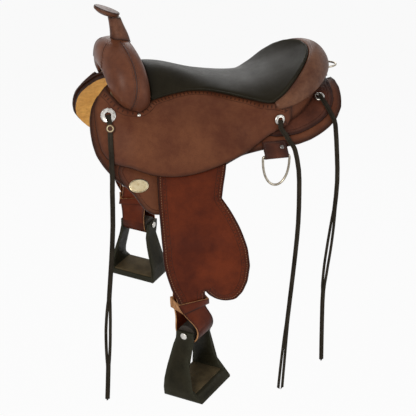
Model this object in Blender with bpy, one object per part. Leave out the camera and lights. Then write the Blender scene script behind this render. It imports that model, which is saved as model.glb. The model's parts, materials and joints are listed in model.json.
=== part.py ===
"""Gaited trail saddle: tree, padded seat, skirts, rigging, fenders and stirrups, in metres with +Z up.

The horn is at the -X end and the cantle at the +X end. The rider's left side is -Y. The origin lies on the
centreline, in the hollow where the saddle rests on a horse's back.

Every leather layer lies on one surface, the horse's back. A place on a layer is given by its station x along
the saddle, its drop d (how far down the flank it lies, measured over the leather from the centreline) and its
height n above the horse.
"""

import functools
import math

import bmesh
import bpy
import numpy as np
from mathutils import Matrix, Vector

# Horse's back: the section at a station is a hyperbola, steep at the withers and flatter at the loin.
withers_station = -0.32
loin_station = 0.20
withers_slope = 1.88
loin_slope = 1.19
withers_round = 0.257
loin_round = 0.182
back_height = 0.012
back_fall = 0.09
back_dip = 0.09
loin_rise_start = 0.15
loin_rise = 0.9
withers_ridge_half_width = 0.10

# Leather and lining thicknesses, the lay between pieces that touch, and the room in which the fender swings.
lining_thickness = 0.010
skirt_thickness = 0.0045
rigging_thickness = 0.004
jockey_thickness = 0.0045
fender_thickness = 0.005
strap_thickness = 0.004
lay = 0.0007
lining_lay = 0.0014
fork_core_lay = 0.0012
fender_play = 0.005

# Tree.
bar_inner_drop = 0.040
bar_outer_drop = 0.146
bar_front = -0.272
bar_rear = 0.200
bar_thickness = 0.016
fork_cover_thickness = 0.004
cantle_centre = 0.100

# Horn.
horn_foot = (-0.2310, 0.166)
horn_top = (-0.2463, 0.232)
horn_foot_radius = 0.0225
horn_neck_radius = 0.0135
horn_post_radius = 0.011
horn_cap_length = 0.064
horn_cap_width = 0.058
horn_cap_thickness = 0.010
horn_cap_tilt = math.radians(21)
horn_cap_place = (-0.2600, 0.2370)

# Seat.
seat_front = -0.182
seat_dish_depth = 0.129
seat_dish_half_width = 0.140
seat_pad_edge = 0.007
seat_pad_crown = 0.009
seat_tuck = 0.007
seat_edge_gap = 0.0026
roll_depth = 0.193
roll_half_width = 0.158
roll_thickness = 0.030
roll_top_height = 0.075
roll_end_height = 0.010
cantle_foot_depth = 0.158
cantle_foot_half_width = 0.138

# Fenders, stirrup straps and stirrups.
hanger_station = -0.1355
stud_station = -0.1316
hanger_drop = 0.125
hanger_stud_radius = 0.006
hanger_head_radius = 0.011
hanger_head_lift = 0.0024
hanger_head_height = 0.0028
hanger_clearance = 0.0004
fender_leaves_flank = 0.33
fender_turn = 0.14
strap_width = 0.070
strap_lean = 0.013
fender_notch_station = -0.1010
neck_gap = 0.0016
strap_spread = 0.012
loop_spread = 0.028
twist_start = -0.342
twist_end = -0.440
twist_angle = math.radians(44)
bolt_height = -0.462
bolt_radius = 0.004
roller_radius = 0.022
stirrup_drop = 0.162
stirrup_hang = math.radians(3.1)
stirrup_tread_width = 0.140
stirrup_tread_depth = 0.105
stirrup_top_width = 0.080
stirrup_wall = 0.007
tread_thickness = 0.016
tread_pad_thickness = 0.004

# Metal trim.
dee_wire_radius = 0.003
dee_clearance = 0.0004
rigging_plate_x = (-0.190, -0.105)
rigging_plate_drop = (0.300, 0.368)
rigging_plate_thickness = 0.0025
rear_dee_width = 0.066
rear_dee_length = 0.076
crupper_ring_width = 0.050
crupper_ring_length = 0.046
crupper_wire_radius = 0.0025
concho_radius = 0.0185
concho_hole_radius = 0.0065
small_concho_hole_radius = 0.0052
concho_height = 0.0038
concho_lift = 0.0036
front_concho_lift = 0.0013
flat_lift = 0.0007
small_concho_radius = 0.0135
plate_length = 0.047
plate_width = 0.033

# Saddle strings.
string_width = 0.011
string_thickness = 0.003

cell = (0.040, 0.030)
withers_reach = (-0.200, 0.125)
left, right = -1, 1
side_names = {left: "left", right: "right"}

skirt_top = lining_thickness + lining_lay + skirt_thickness
rigging_base = skirt_top + lay
rigging_top = rigging_base + rigging_thickness
fender_base = rigging_top + fender_play
jockey_rest = rigging_top + lay + jockey_thickness
fender_room = fender_base + fender_thickness + fender_play - rigging_top - lay

finishes = {
    "brown_leather": ((0.17, 0.065, 0.035), 0.45, 0.0),
    "dark_brown_leather": ((0.10, 0.035, 0.018), 0.45, 0.0),
    "black_leather": ((0.035, 0.033, 0.024), 0.4, 0.0),
    "tan_lining": ((0.80, 0.42, 0.11), 0.8, 0.0),
    "tree_wood": ((0.45, 0.33, 0.20), 0.6, 0.0),
    "bright_steel": ((0.75, 0.74, 0.72), 0.25, 1.0),
    "brass_plate": ((0.72, 0.66, 0.48), 0.3, 1.0),
    "stirrup_leather": ((0.025, 0.022, 0.014), 0.45, 0.0),
    "tread_rubber": ((0.13, 0.11, 0.08), 0.8, 0.0),
}


def ease(t):
    """Smooth step from 0 to 1."""
    t = min(1.0, max(0.0, t))
    return t * t * (3 - 2 * t)


def mix(a, b, t):
    return a + (b - a) * t


def steps(first, last, count):
    """Evenly spaced values from first to last."""
    return [mix(first, last, i / (count - 1)) for i in range(count)]


# The horse's back and the layers on it.


def back_section(x):
    """Slope limit, roundness and top height of the horse's back at station x."""
    t = min(1.25, max(-0.1, (x - withers_station) / (loin_station - withers_station)))
    top = back_height - back_fall * x + back_dip * x * x
    if x > loin_rise_start:
        top += loin_rise * (x - loin_rise_start) ** 2
    return mix(withers_slope, loin_slope, t), mix(withers_round, loin_round, t), top


def withers_ridge(x):
    """How far the withers stand above the plain section at station x."""
    table = np.array(((-0.335, 0.0), (-0.309, 0.014), (-0.285, 0.030), (-0.260, 0.035), (-0.220, 0.030),
                      (-0.170, 0.012),
                      (-0.130, 0.0))).T
    return float(np.interp(x, table[0], table[1]))


@functools.lru_cache(maxsize=None)
def flank_curve(x, hanging):
    """Half width, height and slope along the flank at station x; a hanging piece leaves it and turns plumb."""
    slope_limit, roundness, top = back_section(x)
    ridge = withers_ridge(x)
    step = 0.002
    y, z, leaving = 0.0, top, 0.0
    rows = []
    for i in range(360):
        reach = math.sqrt((slope_limit * y) ** 2 + roundness**2)
        plain = math.atan(slope_limit**2 * y / reach)
        swell = ridge * math.exp(-((y / withers_ridge_half_width) ** 2))
        angle = math.atan(math.tan(plain) + swell * 2 * y / withers_ridge_half_width**2)
        if hanging and i * step >= fender_leaves_flank:
            plain = angle = mix(leaving, math.pi / 2, ease((i * step - fender_leaves_flank) / fender_turn))
        else:
            leaving = angle
        rows.append((i * step, y, z + swell, angle))
        y += step * math.cos(plain)
        z -= step * math.sin(plain)
    return np.array(rows).T


def flank(x, d, hanging=False):
    drops, ys, zs, angles = flank_curve(round(x, 5), hanging)
    return float(np.interp(d, drops, ys)), float(np.interp(d, drops, zs)), float(np.interp(d, drops, angles))


def drape(x, d, n, side, hanging=False):
    """The point at station x and drop d, n above the horse, on one side."""
    y, z, angle = flank(x, d, hanging)
    return Vector((x, side * (y + n * math.sin(angle)), z + n * math.cos(angle)))


def lay_at(x, half_width, height):
    """Drop and height above the horse of a point given by its half width and height."""
    drops, ys, zs, angles = flank_curve(round(x, 5), False)
    gap = np.hypot(ys - half_width, zs - height)
    nearest = int(gap.argmin())
    return float(drops[nearest]), float(gap[nearest])


def surface_frame(x, d, n, side):
    """A frame on a layer: Z away from the horse, X towards the cantle."""
    angle = flank(x, d)[2]
    out = Vector((0, side * math.sin(angle), math.cos(angle)))
    along = Vector((1, 0, 0))
    across = out.cross(along)
    frame = Matrix((along, across, out)).transposed().to_4x4()
    return Matrix.Translation(drape(x, d, n, side)) @ frame


def frame_on(x, d, height, side, lift=0.0, half=0.008):
    """A frame on a layer whose outer face lies at height(x, d): Z off the leather, X towards the cantle."""
    middle = drape(x, d, height(x, d), side)
    along = drape(x + half, d, height(x + half, d), side) - drape(x - half, d, height(x - half, d), side)
    down = drape(x, d + half, height(x, d + half), side) - drape(x, d - half, height(x, d - half), side)
    out = along.cross(down).normalized() * side
    along.normalize()
    frame = Matrix((along, out.cross(along), out)).transposed().to_4x4()
    return Matrix.Translation(middle + out * lift) @ frame


# Making objects.


def material(name):
    made = bpy.data.materials.get(name)
    if made:
        return made
    colour, roughness, metallic = finishes[name]
    made = bpy.data.materials.new(name)
    made.use_nodes = True
    shader = made.node_tree.nodes["Principled BSDF"]
    shader.inputs["Base Color"].default_value = (*colour, 1)
    shader.inputs["Roughness"].default_value = roughness
    shader.inputs["Metallic"].default_value = metallic
    return made


def add_object(name, bm, finish, frame=None, parent=None, sharp=40):
    """Turns a closed bmesh in world space into an object whose origin and axes are those of frame."""
    frame = frame or Matrix()
    bmesh.ops.recalc_face_normals(bm, faces=bm.faces[:])
    if bm.calc_volume(signed=True) < 0:
        bmesh.ops.reverse_faces(bm, faces=bm.faces[:])
    bm.transform(frame.inverted())
    mesh = bpy.data.meshes.new(name)
    bm.to_mesh(mesh)
    bm.free()
    mesh.shade_smooth()
    mesh.set_sharp_from_angle(angle=math.radians(sharp))
    mesh.materials.append(material(finish))
    made = bpy.data.objects.new(name, mesh)
    made.matrix_world = frame
    bpy.context.collection.objects.link(made)
    if parent:
        made.parent = parent
        made.matrix_parent_inverse = Matrix.Translation(parent.location).inverted()
    return made


def add_pivot(name, place):
    pivot = bpy.data.objects.new(name, None)
    pivot.empty_display_size = 0.03
    pivot.location = place
    bpy.context.collection.objects.link(pivot)
    return pivot


def smooth_loop(points, parts=3):
    """A closed outline through hand-placed points, rounded between them."""
    rounded = []
    count = len(points)
    for i in range(count):
        a, b, c, d = (np.array(points[(i + k - 1) % count]) for k in range(4))
        for step in range(parts):
            t = step / parts
            rounded.append(tuple(0.5 * (2 * b + (c - a) * t + (2 * a - 5 * b + 4 * c - d) * t * t
                                        + (3 * b - a - 3 * c + d) * t**3)))
    return rounded


def smooth_line(points, parts=4):
    """An open line through hand-placed points, rounded between them."""
    line = [np.array(p, dtype=float) for p in points]
    ends = [2 * line[0] - line[1]] + line + [2 * line[-1] - line[-2]]
    rounded = []
    for i in range(len(line) - 1):
        a, b, c, d = ends[i : i + 4]
        for step in range(parts):
            t = step / parts
            rounded.append(0.5 * (2 * b + (c - a) * t + (2 * a - 5 * b + 4 * c - d) * t * t
                                  + (3 * b - a - 3 * c + d) * t**3))
    return rounded + [line[-1]]


def inset_outline(outline, by):
    """The same outline drawn in by a small step, or let out where the step is negative."""
    area = sum(a[0] * b[1] - b[0] * a[1] for a, b in zip(outline, outline[1:] + outline[:1]))
    by = math.copysign(by, area * by)
    drawn = []
    for i, place in enumerate(outline):
        a, b = np.array(outline[i - 1]), np.array(outline[(i + 1) % len(outline)])
        along = (b - a) / np.linalg.norm(b - a)
        drawn.append((place[0] - along[1] * by, place[1] + along[0] * by))
    return drawn


def at_withers(x, d):
    """Where the horse's back curves both ways and the leather on it is cut into finer cells."""
    return x < withers_reach[0] and d < withers_reach[1]


def cut_pattern(outline, finer=None):
    """A flat leather pattern in station and drop, cut into small cells so that it can be draped."""
    pattern = bmesh.new()
    pattern.faces.new([pattern.verts.new((x, d, 0)) for x, d in outline])
    for axis in (0, 1):
        low = min(p[axis] for p in outline)
        high = max(p[axis] for p in outline)
        for k in range(math.ceil(low / cell[axis]), math.floor(high / cell[axis]) + 1):
            place = [0, 0, 0]
            place[axis] = k * cell[axis]
            normal = [0, 0, 0]
            normal[axis] = 1
            everything = pattern.verts[:] + pattern.edges[:] + pattern.faces[:]
            bmesh.ops.bisect_plane(pattern, geom=everything, dist=1e-5, plane_co=place, plane_no=normal)
    if finer:
        for axis in (0, 1):
            low = min(p[axis] for p in outline)
            high = max(p[axis] for p in outline)
            for k in range(math.ceil(low / cell[axis] - 0.5), math.floor(high / cell[axis] - 0.5) + 1):
                place = [0, 0, 0]
                place[axis] = (k + 0.5) * cell[axis]
                normal = [0, 0, 0]
                normal[axis] = 1
                faces = [f for f in pattern.faces if finer(*f.calc_center_median().xy)]
                edges = {e for f in faces for e in f.edges}
                verts = {v for f in faces for v in f.verts}
                bmesh.ops.bisect_plane(pattern, geom=faces + list(edges) + list(verts), dist=1e-5,
                                       plane_co=place,
                                       plane_no=normal)
    bmesh.ops.remove_doubles(pattern, verts=pattern.verts[:], dist=0.002)
    bmesh.ops.triangulate(pattern, faces=pattern.faces[:])
    return pattern


def drape_pattern(outline, under, over, finer=at_withers):
    """A closed shell over a pattern: under and over give its two faces, finer says where cells halve."""
    pattern = cut_pattern(outline, finer)
    shell = bmesh.new()
    low = {v: shell.verts.new(under(v.co.x, v.co.y)) for v in pattern.verts}
    high = {v: shell.verts.new(over(v.co.x, v.co.y)) for v in pattern.verts}
    for face in pattern.faces:
        shell.faces.new([high[v] for v in face.verts])
        shell.faces.new([low[v] for v in reversed(face.verts)])
    for edge in pattern.edges:
        if edge.is_boundary:
            a, b = edge.verts
            shell.faces.new([low[a], low[b], high[b], high[a]])
    pattern.free()
    return shell


def layer(outline, under, over, side):
    """A draped shell whose faces lie at heights given by under(x, d) and over(x, d)."""
    return drape_pattern(outline, lambda x, d: drape(x, d, under(x, d), side),
                         lambda x, d: drape(x, d, over(x, d), side))


def loft(rings, closed=False):
    """Joins rings of equally many points into a closed body."""
    bm = bmesh.new()
    rows = [[bm.verts.new(p) for p in ring] for ring in rings]
    count = len(rings[0])
    pairs = list(zip(rows, rows[1:])) + ([(rows[-1], rows[0])] if closed else [])
    for one, two in pairs:
        for i in range(count):
            j = (i + 1) % count
            bm.faces.new([one[i], one[j], two[j], two[i]])
    if not closed:
        bm.faces.new(list(reversed(rows[0])))
        bm.faces.new(rows[-1])
    return bm


def turned(profile, sides, frame):
    """A turned piece: profile is a closed loop of radius and height that stays clear of the axis."""
    rings = []
    for i in range(sides):
        a = 2 * math.pi * i / sides
        rings.append([frame @ Vector((r * math.cos(a), r * math.sin(a), z)) for r, z in profile])
    return loft(rings, closed=True)


def turned_solid(profile, sides, frame, stretch=1.0):
    """A turned piece without a bore: profile runs from its foot to its top; stretch widens it along X."""
    rings = []
    for r, z in profile:
        rings.append([frame @ Vector((r * stretch * math.cos(2 * math.pi * i / sides),
                                      r * math.sin(2 * math.pi * i / sides), z)) for i in range(sides)])
    return loft(rings)


def wire_loop(path, normal, radius, sides=7):
    """Round wire along a flat closed path."""
    rings = []
    count = len(path)
    for i in range(count):
        tangent = (path[(i + 1) % count] - path[i - 1]).normalized()
        out = tangent.cross(normal).normalized()
        rings.append([path[i] + radius * (math.cos(a) * out + math.sin(a) * normal)
                      for a in (2 * math.pi * (k + 0.5) / sides for k in range(sides))])
    return loft(rings, closed=True)


def carve(made, cutter, operation="DIFFERENCE"):
    """Cuts or joins a piece with a guide that is itself left out of the model."""
    cutter.hide_render = True
    cutter.display_type = "WIRE"
    change = made.modifiers.new(operation.lower(), "BOOLEAN")
    change.operation = operation
    change.solver = "EXACT"
    change.object = cutter


# Seat surfaces.


def seat_stations(x):
    """Half width, height at the edge and height at the centre of the seat pad at station x."""
    stations = (
        (-0.330, 0.048, 0.052, 0.115),
        (-0.300, 0.052, 0.066, 0.115),
        (-0.260, 0.080, 0.066, 0.115),
        (-0.220, 0.112, 0.030, 0.115),
        (-0.182, 0.101, 0.043, 0.108),
        (-0.165, 0.097, 0.046, 0.108),
        (-0.130, 0.088, 0.050, 0.103),
        (-0.085, 0.083, 0.053, 0.087),
        (-0.040, 0.086, 0.049, 0.071),
        (0.007, 0.096, 0.039, 0.058),
        (0.054, 0.111, 0.027, 0.054),
        (0.090, 0.129, 0.020, 0.053),
        (0.110, 0.140, 0.023, 0.056),
        (0.130, 0.138, 0.036, 0.060),
        (0.150, 0.130, 0.056, 0.071),
        (0.170, 0.118, 0.074, 0.080),
        (0.190, 0.100, 0.091, 0.091),
        (0.210, 0.073, 0.105, 0.104),
        (0.229, 0.010, 0.116, 0.118),
    )
    table = np.array(stations).T
    half_width, edge, centre = (float(np.interp(x, table[0], row)) for row in table[1:])
    if x > cantle_centre:
        share = min(1.0, (x - cantle_centre) / seat_dish_depth)
        half_width = max(0.006, seat_dish_half_width * math.sqrt(1 - share * share))
    return half_width, edge, centre


def pad_height(x, y):
    half_width, edge, centre = seat_stations(x)
    share = min(1.0, abs(y) / half_width)
    return edge + seat_pad_edge + (centre - edge - seat_pad_edge) * (1 - share**2.2)


def pad_thickness(x, y):
    share = min(1.0, abs(y) / seat_stations(x)[0])
    return seat_pad_edge + seat_pad_crown * (1 - share**4)


def seat_support(x, y):
    """Height of the surface that the seat pad lies on."""
    return pad_height(x, y) - pad_thickness(x, y)


@functools.lru_cache(maxsize=None)
def seat_edge_lay(x):
    half_width, edge, _ = seat_stations(x)
    return lay_at(x, half_width, edge - seat_edge_gap)


def jockey_edge(x):
    """Drop of the seat jockey's lower edge."""
    table = np.array(((-0.32, 0.200), (-0.27, 0.225), (-0.21, 0.246), (-0.165, 0.253), (-0.12, 0.251),
                      (-0.07, 0.240),
                      (-0.027, 0.226), (0.02, 0.207), (0.052, 0.186), (0.09, 0.164), (0.15, 0.145))).T
    return float(np.interp(x, table[0], table[1]))


def over_fender(x):
    """1 where the fender swings under the jockey, 0 in front of it and behind it."""
    return ease((x + 0.285) / 0.04) * ease((0.045 - x) / 0.04)


def jockey_bed(x, d):
    """Outer face of a jockey that lies on the skirt in front, and on the rigging elsewhere."""
    on_rigging = max(ease((x + 0.300) / 0.02) * ease((d - 0.170) / 0.025), ease((x - 0.05) / 0.03))
    return mix(skirt_top + lay + jockey_thickness, jockey_rest, on_rigging)


def jockey_over_stud(x, d):
    """Outer face of a jockey that clears the fender's stud, near the stud."""
    cover = fender_height(d) + fender_thickness + hanger_head_lift + hanger_head_height + 0.0012 + jockey_thickness
    nearby = ease((0.085 - abs(x - stud_station)) / 0.045) * ease((d - 0.072) / 0.025) * ease((0.200 - d) / 0.04)
    return mix(skirt_top, cover, nearby)


def jockey_over_bar(x, d):
    """Outer face of a jockey that clears the tree bar, over the bar."""
    nearby = ease((x - bar_front + 0.045) / 0.045) * ease((bar_outer_drop + 0.022 - d) / 0.02)
    return mix(skirt_top, bar_cover(x, d) + lay + jockey_thickness + 0.0015, nearby)


def jockey_height(x, d):
    """Height of the seat jockey's outer face above the horse."""
    bed = jockey_bed(x, d)
    top_drop, top_height = seat_edge_lay(round(min(x, 0.105), 4))
    share = (d - top_drop) / (jockey_edge(x) - top_drop)
    rise = -0.6 * (top_drop - d) if d < top_drop else (bed - top_height) * ease(share)
    height = top_height + rise + fender_room * over_fender(x) * ease((d - 0.10) / 0.06)
    return max(height, bed, jockey_over_bar(x, d), jockey_over_stud(x, d))


def fender_height(d):
    """Height of the fender's inner face: over the tree bar at the hanger, then down on the flank."""
    over_bar = rigging_base + bar_thickness + 0.0025
    low = fender_base + 0.05 * max(0.0, d - 0.2)
    return mix(over_bar, low, ease((d - hanger_drop - 0.028) / 0.055))


# The stirrup strap hangs plumb; its two plies and the stirrup turn with it.


def strap_axis():
    """Half width of the plumb line that the stirrup strap turns about."""
    inner = drape(hanger_station, 0.50, fender_height(0.50), right, hanging=True).y
    return inner - neck_gap - strap_thickness - strap_spread


@functools.lru_cache(maxsize=None)
def panel_turn():
    """How far the hanging fender is turned already, because the saddle is wider behind."""
    front, rear = (drape(hanger_station + step, 0.48, fender_height(0.48), right, hanging=True).y
                   for step in (-0.037, 0.037))
    return -math.atan((rear - front) / 0.074)


def strap_station(z):
    """Station of the strap's axis: the fender's neck leans forward, and the strap comes back to the bolt."""
    return hanger_station - strap_lean * (1 - ease((-0.392 - z) / 0.06))


def strap_turn(z):
    return mix(panel_turn(), twist_angle, ease((twist_start - z) / (twist_start - twist_end)))


def ply_spread(z):
    """Half the room between the strap's two plies: narrow above the hobble strap, wider round the roller."""
    return mix(strap_spread, loop_spread, ease((-0.400 - z) / 0.050))


def strap_point(across, out, z, side):
    """A point beside the strap's plumb line: across its width, and outwards from the saddle."""
    turn = strap_turn(z)
    half = strap_axis() + out * math.cos(turn) - across * math.sin(turn)
    return Vector((strap_station(z) + across * math.cos(turn) + out * math.sin(turn), side * half, z))


def fender_point(x, d, n, side):
    """A point of the fender; its neck turns with the stirrup strap."""
    flat = drape(x, d, n, side, hanging=True)
    share = ease((d - 0.34) / 0.10) * (1 - ease((x - fender_notch_station) / 0.055))
    out = ply_spread(flat.z) + strap_thickness + neck_gap + n - fender_height(d)
    return flat.lerp(strap_point(x - hanger_station, out, flat.z, side), share)


# Tree.


def bar_height(x, d):
    """Height of a bar's top face, thinner at its tips and edges."""
    along = 1 - abs((x - (bar_front + bar_rear) / 2) / (bar_rear - bar_front) * 2) ** 4 * 0.6
    front_slim = mix(0.72, 1.0, ease((x + 0.215) / 0.05))
    middle = (bar_inner_drop + bar_outer_drop) / 2
    across = 1 - abs((d - middle) / (bar_outer_drop - bar_inner_drop) * 2) ** 6 * 0.45
    return rigging_base + bar_thickness * along * across * front_slim


def bar_cover(x, d):
    """The bars' top face, carried on past their edges."""
    return bar_height(x, min(max(d, bar_inner_drop), bar_outer_drop))


def top_at(x, y, height):
    """Height at half width y of a layer whose outer face lies height(x, d) above the horse."""
    places = [drape(x, d, height(x, d), right) for d in np.arange(0.0, 0.17, 0.004)]
    return float(np.interp(y, [p.y for p in places], [p.z for p in places]))


def make_tree_bars():
    outline = smooth_loop([
        (bar_front, bar_inner_drop + 0.022), (bar_front, bar_outer_drop - 0.035),
        (bar_front + 0.03, bar_outer_drop - 0.012), (-0.19, bar_outer_drop), (-0.05, bar_outer_drop),
        (0.06, bar_outer_drop - 0.015), (bar_rear - 0.055, bar_outer_drop - 0.045),
        (bar_rear, bar_outer_drop - 0.070), (bar_rear - 0.01, bar_inner_drop), (0.0, bar_inner_drop),
        (-0.16, bar_inner_drop), (bar_front + 0.02, bar_inner_drop),
    ], 2)
    for side in (left, right):
        shell = layer(outline, lambda x, d: rigging_base, bar_height, side)
        add_object(f"tree_bar_{side_names[side]}", shell, "tree_wood")


def fork_station(t):
    """At t, 0 on the centreline and 1 at the foot: outer and inner point, front, rear and the lean."""
    stations = (
        (0.00, 0.000, 0.172, 0.000, 0.101, -0.2945, -0.198, 0.00),
        (0.15, 0.040, 0.167, 0.030, 0.098, -0.290, -0.196, 0.10),
        (0.30, 0.077, 0.153, 0.055, 0.087, -0.284, -0.191, 0.22),
        (0.44, 0.105, 0.131, 0.068, 0.072, -0.280, -0.187, 0.26),
        (0.56, 0.121, 0.106, 0.073, 0.060, -0.275, -0.185, 0.22),
        (0.67, 0.128, 0.083, 0.080, 0.048, -0.270, -0.184, 0.14),
        (0.77, 0.130, 0.064, 0.088, 0.036, -0.261, -0.185, 0.08),
        (0.86, 0.129, 0.048, 0.096, 0.025, -0.249, -0.189, 0.05),
        (0.94, 0.126, 0.035, 0.103, 0.018, -0.235, -0.197, 0.00),
        (1.00, 0.122, 0.028, 0.108, 0.017, -0.223, -0.205, 0.00),
    )
    table = np.array(stations).T
    return [float(np.interp(t, table[0], row)) for row in table[1:]]


def fork_ring(t, grow, points):
    """Section of the fork at t; grow moves its skin outwards."""
    outer_y, outer_z, inner_y, inner_z, front, rear, lean = fork_station(t)
    outer, inner = Vector((outer_y, outer_z)), Vector((inner_y, inner_z))
    middle = (outer + inner) / 2
    half_height = (outer - inner).length / 2
    out = (outer - inner).normalized()
    half_depth = (rear - front) / 2
    ring = []
    for i in range(points):
        a = 2 * math.pi * i / points
        c, s = math.cos(a), math.sin(a)
        along = math.copysign(abs(c) ** 0.62, c) * (half_depth + grow)
        up = math.copysign(abs(s) ** 0.75, s) * (half_height + grow)
        slope_back = -0.22 * up * ease(c + 0.3) + lean * up * ease(0.3 - c)
        place = middle + out * up
        ring.append(((front + rear) / 2 + along + slope_back, place.x, place.y))
    return ring


fork_steps = (-1, -0.94, -0.86, -0.77, -0.67, -0.56, -0.44, -0.30, -0.15, 0, 0.15, 0.30, 0.44, 0.56, 0.67,
              0.77, 0.86, 0.94, 1)


def fork_rings(grow, ends=1.0, points=12):
    """Rings of the fork's skin from the right foot over the top to the left foot."""
    rings = []
    for t in fork_steps:
        side = -1 if t < 0 else 1
        rings.append([Vector((x, side * y, z)) for x, y, z in fork_ring(min(abs(t), ends), grow, points)])
    return rings


def fork_bed(name, height, outline):
    """A guide that fills everything from below the saddle up to a height over the horse, on both sides."""
    for side in (left, right):
        shell = layer(outline, lambda x, d: -0.030, height, side)
        yield add_object(f"{name}_{side_names[side]}", shell, "tree_wood")


def make_fork():
    bed_outline = [(-0.308, 0.012), (-0.308, 0.175), (-0.170, 0.175), (-0.170, 0.012)]
    core = add_object("tree_fork", loft(fork_rings(-fork_cover_thickness - fork_core_lay, 0.97)), "tree_wood")
    for bed in fork_bed("bar_bed", lambda x, d: bar_cover(x, d) + 0.0014, bed_outline):
        carve(core, bed)

    outer_rings = fork_rings(0.0, points=18)
    rounded = []
    end = outer_rings[-1]
    middle = sum(end, Vector()) / len(end)
    for share, drop in ((0.80, 0.0035), (0.45, 0.0055)):
        rounded.append([middle.lerp(p, share) + Vector((0, 0, -drop)) for p in end])
    start = [[Vector((p.x, -p.y, p.z)) for p in ring] for ring in rounded]
    made = add_object("fork_cover", loft([start[1], start[0]] + outer_rings + rounded), "brown_leather")
    hollow = add_object("fork_cover_hollow", loft(fork_rings(-fork_cover_thickness, 0.985)), "tree_wood")
    carve(made, hollow)
    for bed in fork_bed("fork_cover_bed", lambda x, d: jockey_height(x, d) + 0.0020, bed_outline):
        carve(made, bed)
    return made


def horn_frame():
    foot = Vector((horn_foot[0], 0, horn_foot[1]))
    top = Vector((horn_top[0], 0, horn_top[1]))
    up = (top - foot).normalized()
    across = Vector((0, 1, 0))
    along = across.cross(up)
    frame = Matrix((along, across, up)).transposed().to_4x4()
    return Matrix.Translation(foot) @ frame, (top - foot).length


def make_horn(fork_cover):
    frame, length = horn_frame()
    post_profile = [(horn_post_radius, -0.030), (horn_post_radius, length)]
    post = add_object("horn_post", turned_solid(post_profile, 16, frame), "tree_wood", frame)
    carve(bpy.data.objects["tree_fork"], post, "UNION")
    socket = [(horn_post_radius + lay, -0.03), (horn_post_radius + lay, 0.03)]
    carve(fork_cover, add_object("horn_socket", turned_solid(socket, 16, frame), "tree_wood", frame))

    bore = horn_post_radius + lay
    cap_centre = Vector((horn_cap_place[0], 0, horn_cap_place[1]))
    cap_frame = Matrix.Translation(cap_centre) @ Matrix.Rotation(horn_cap_tilt, 4, "Y")
    neck = [(bore, -0.024), (bore, length + 0.004), (horn_neck_radius, length + 0.004),
            (horn_neck_radius + 0.0015, length * 0.72),
            (mix(horn_neck_radius, horn_foot_radius, 0.45), length * 0.42), (horn_foot_radius, 0.008),
            (horn_foot_radius + 0.0005, -0.024)]
    made = add_object("horn_neck_cover", turned(neck, 20, frame), "brown_leather", frame)
    carve(made, add_object("fork_skin", loft(fork_rings(lay, points=18)), "tree_wood"))

    half = horn_cap_width / 2
    thick = horn_cap_thickness
    under = -thick * 0.62
    above_cap = turned_solid([(half * 0.30, under - 0.0065), (half * 0.58, under - 0.0052),
                              (half * 0.86, under - 0.0004),
                              (half * 1.5, under + 0.0002), (half * 1.5, 0.05)], 24, cap_frame,
                             horn_cap_length / horn_cap_width)
    carve(made, add_object("horn_neck_trim", above_cap, "tree_wood", cap_frame))
    carve(bpy.data.objects["horn_post"], bpy.data.objects["horn_neck_trim"])
    profile = [(half * 0.30, under - 0.006), (half * 0.58, under - 0.0045), (half * 0.85, under),
               (half * 0.94, -thick * 0.5),
               (half * 0.99, -thick * 0.2), (half, thick * 0.1),
               (half * 0.97, thick * 0.32), (half * 0.86, thick * 0.38)]
    cap = turned_solid(profile, 24, cap_frame, horn_cap_length / horn_cap_width)
    add_object("horn_cap", cap, "dark_brown_leather", cap_frame)


# Seat.


def plan_solid(stations, half_width, bottom, top, columns=9):
    """A solid between two height surfaces over a plan given station by station."""
    rings = []
    for x in stations:
        reach = half_width(x)
        ys = [reach * math.sin(math.pi / 2 * (2 * i / (columns - 1) - 1)) for i in range(columns)]
        rings.append([Vector((x, y, top(x, y))) for y in ys]
                     + [Vector((x, y, bottom(x, y))) for y in reversed(ys)])
    return loft(rings)


def make_ground_seat():
    rear = cantle_centre + 0.085

    def reach(x):
        inset = seat_stations(x)[0] - 0.018
        if x > cantle_centre:
            inset = min(inset, 0.108 * math.sqrt(max(0.05, 1 - ((x - cantle_centre) / 0.094) ** 2)))
        return inset

    def under(x, y):
        over_bars = top_at(x, max(abs(y), bar_inner_drop - 0.004), bar_cover) + 0.0035
        over_skirts = max(seat_support(x, y) - 0.018, top_at(x, abs(y), lambda x, d: skirt_top) + 0.0025)
        return min(mix(over_skirts, over_bars, ease((abs(y) - 0.006) / 0.016)), seat_support(x, y) - 0.008)

    stations = steps(seat_front + 0.002, rear, 12)
    add_object("ground_seat", plan_solid(stations, reach, under, lambda x, y: seat_support(x, y) - 0.003,
                                         13), "tree_wood")


def make_seat_pad():
    """The black padded seat: a crowned cushion whose edges are drawn in."""
    stations = [seat_front + 0.0005, seat_front + 0.004] + steps(seat_front + 0.016, 0.09, 11)
    stations += [cantle_centre + seat_dish_depth * math.sin(math.radians(a))
                 for a in (3, 16, 29, 42, 55, 67, 77, 84)]
    columns = 15
    rings = []
    for i, x in enumerate(stations):
        reach = seat_stations(x)[0]
        draw_in = 0.004 if i == 0 else 0.0
        row = [reach * math.sin(math.pi / 2 * (2 * k / (columns - 1) - 1)) for k in range(columns)]
        upper = []
        for k, y in enumerate(row):
            edge_fall = 0.0025 if k in (0, columns - 1) else 0.0
            upper.append(Vector((x, y, pad_height(x, y) - edge_fall - draw_in)))
        side = [Vector((x, s * (reach + 0.0012), seat_stations(x)[1] + 0.0025)) for s in (1, -1)]
        lower = [Vector((x, y, seat_support(x, y))) for y in reversed(row)]
        rings.append(upper + [side[0]] + lower + [side[1]])
    add_object("seat_pad", loft(rings), "black_leather")


jockey_room = -0.0034


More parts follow.
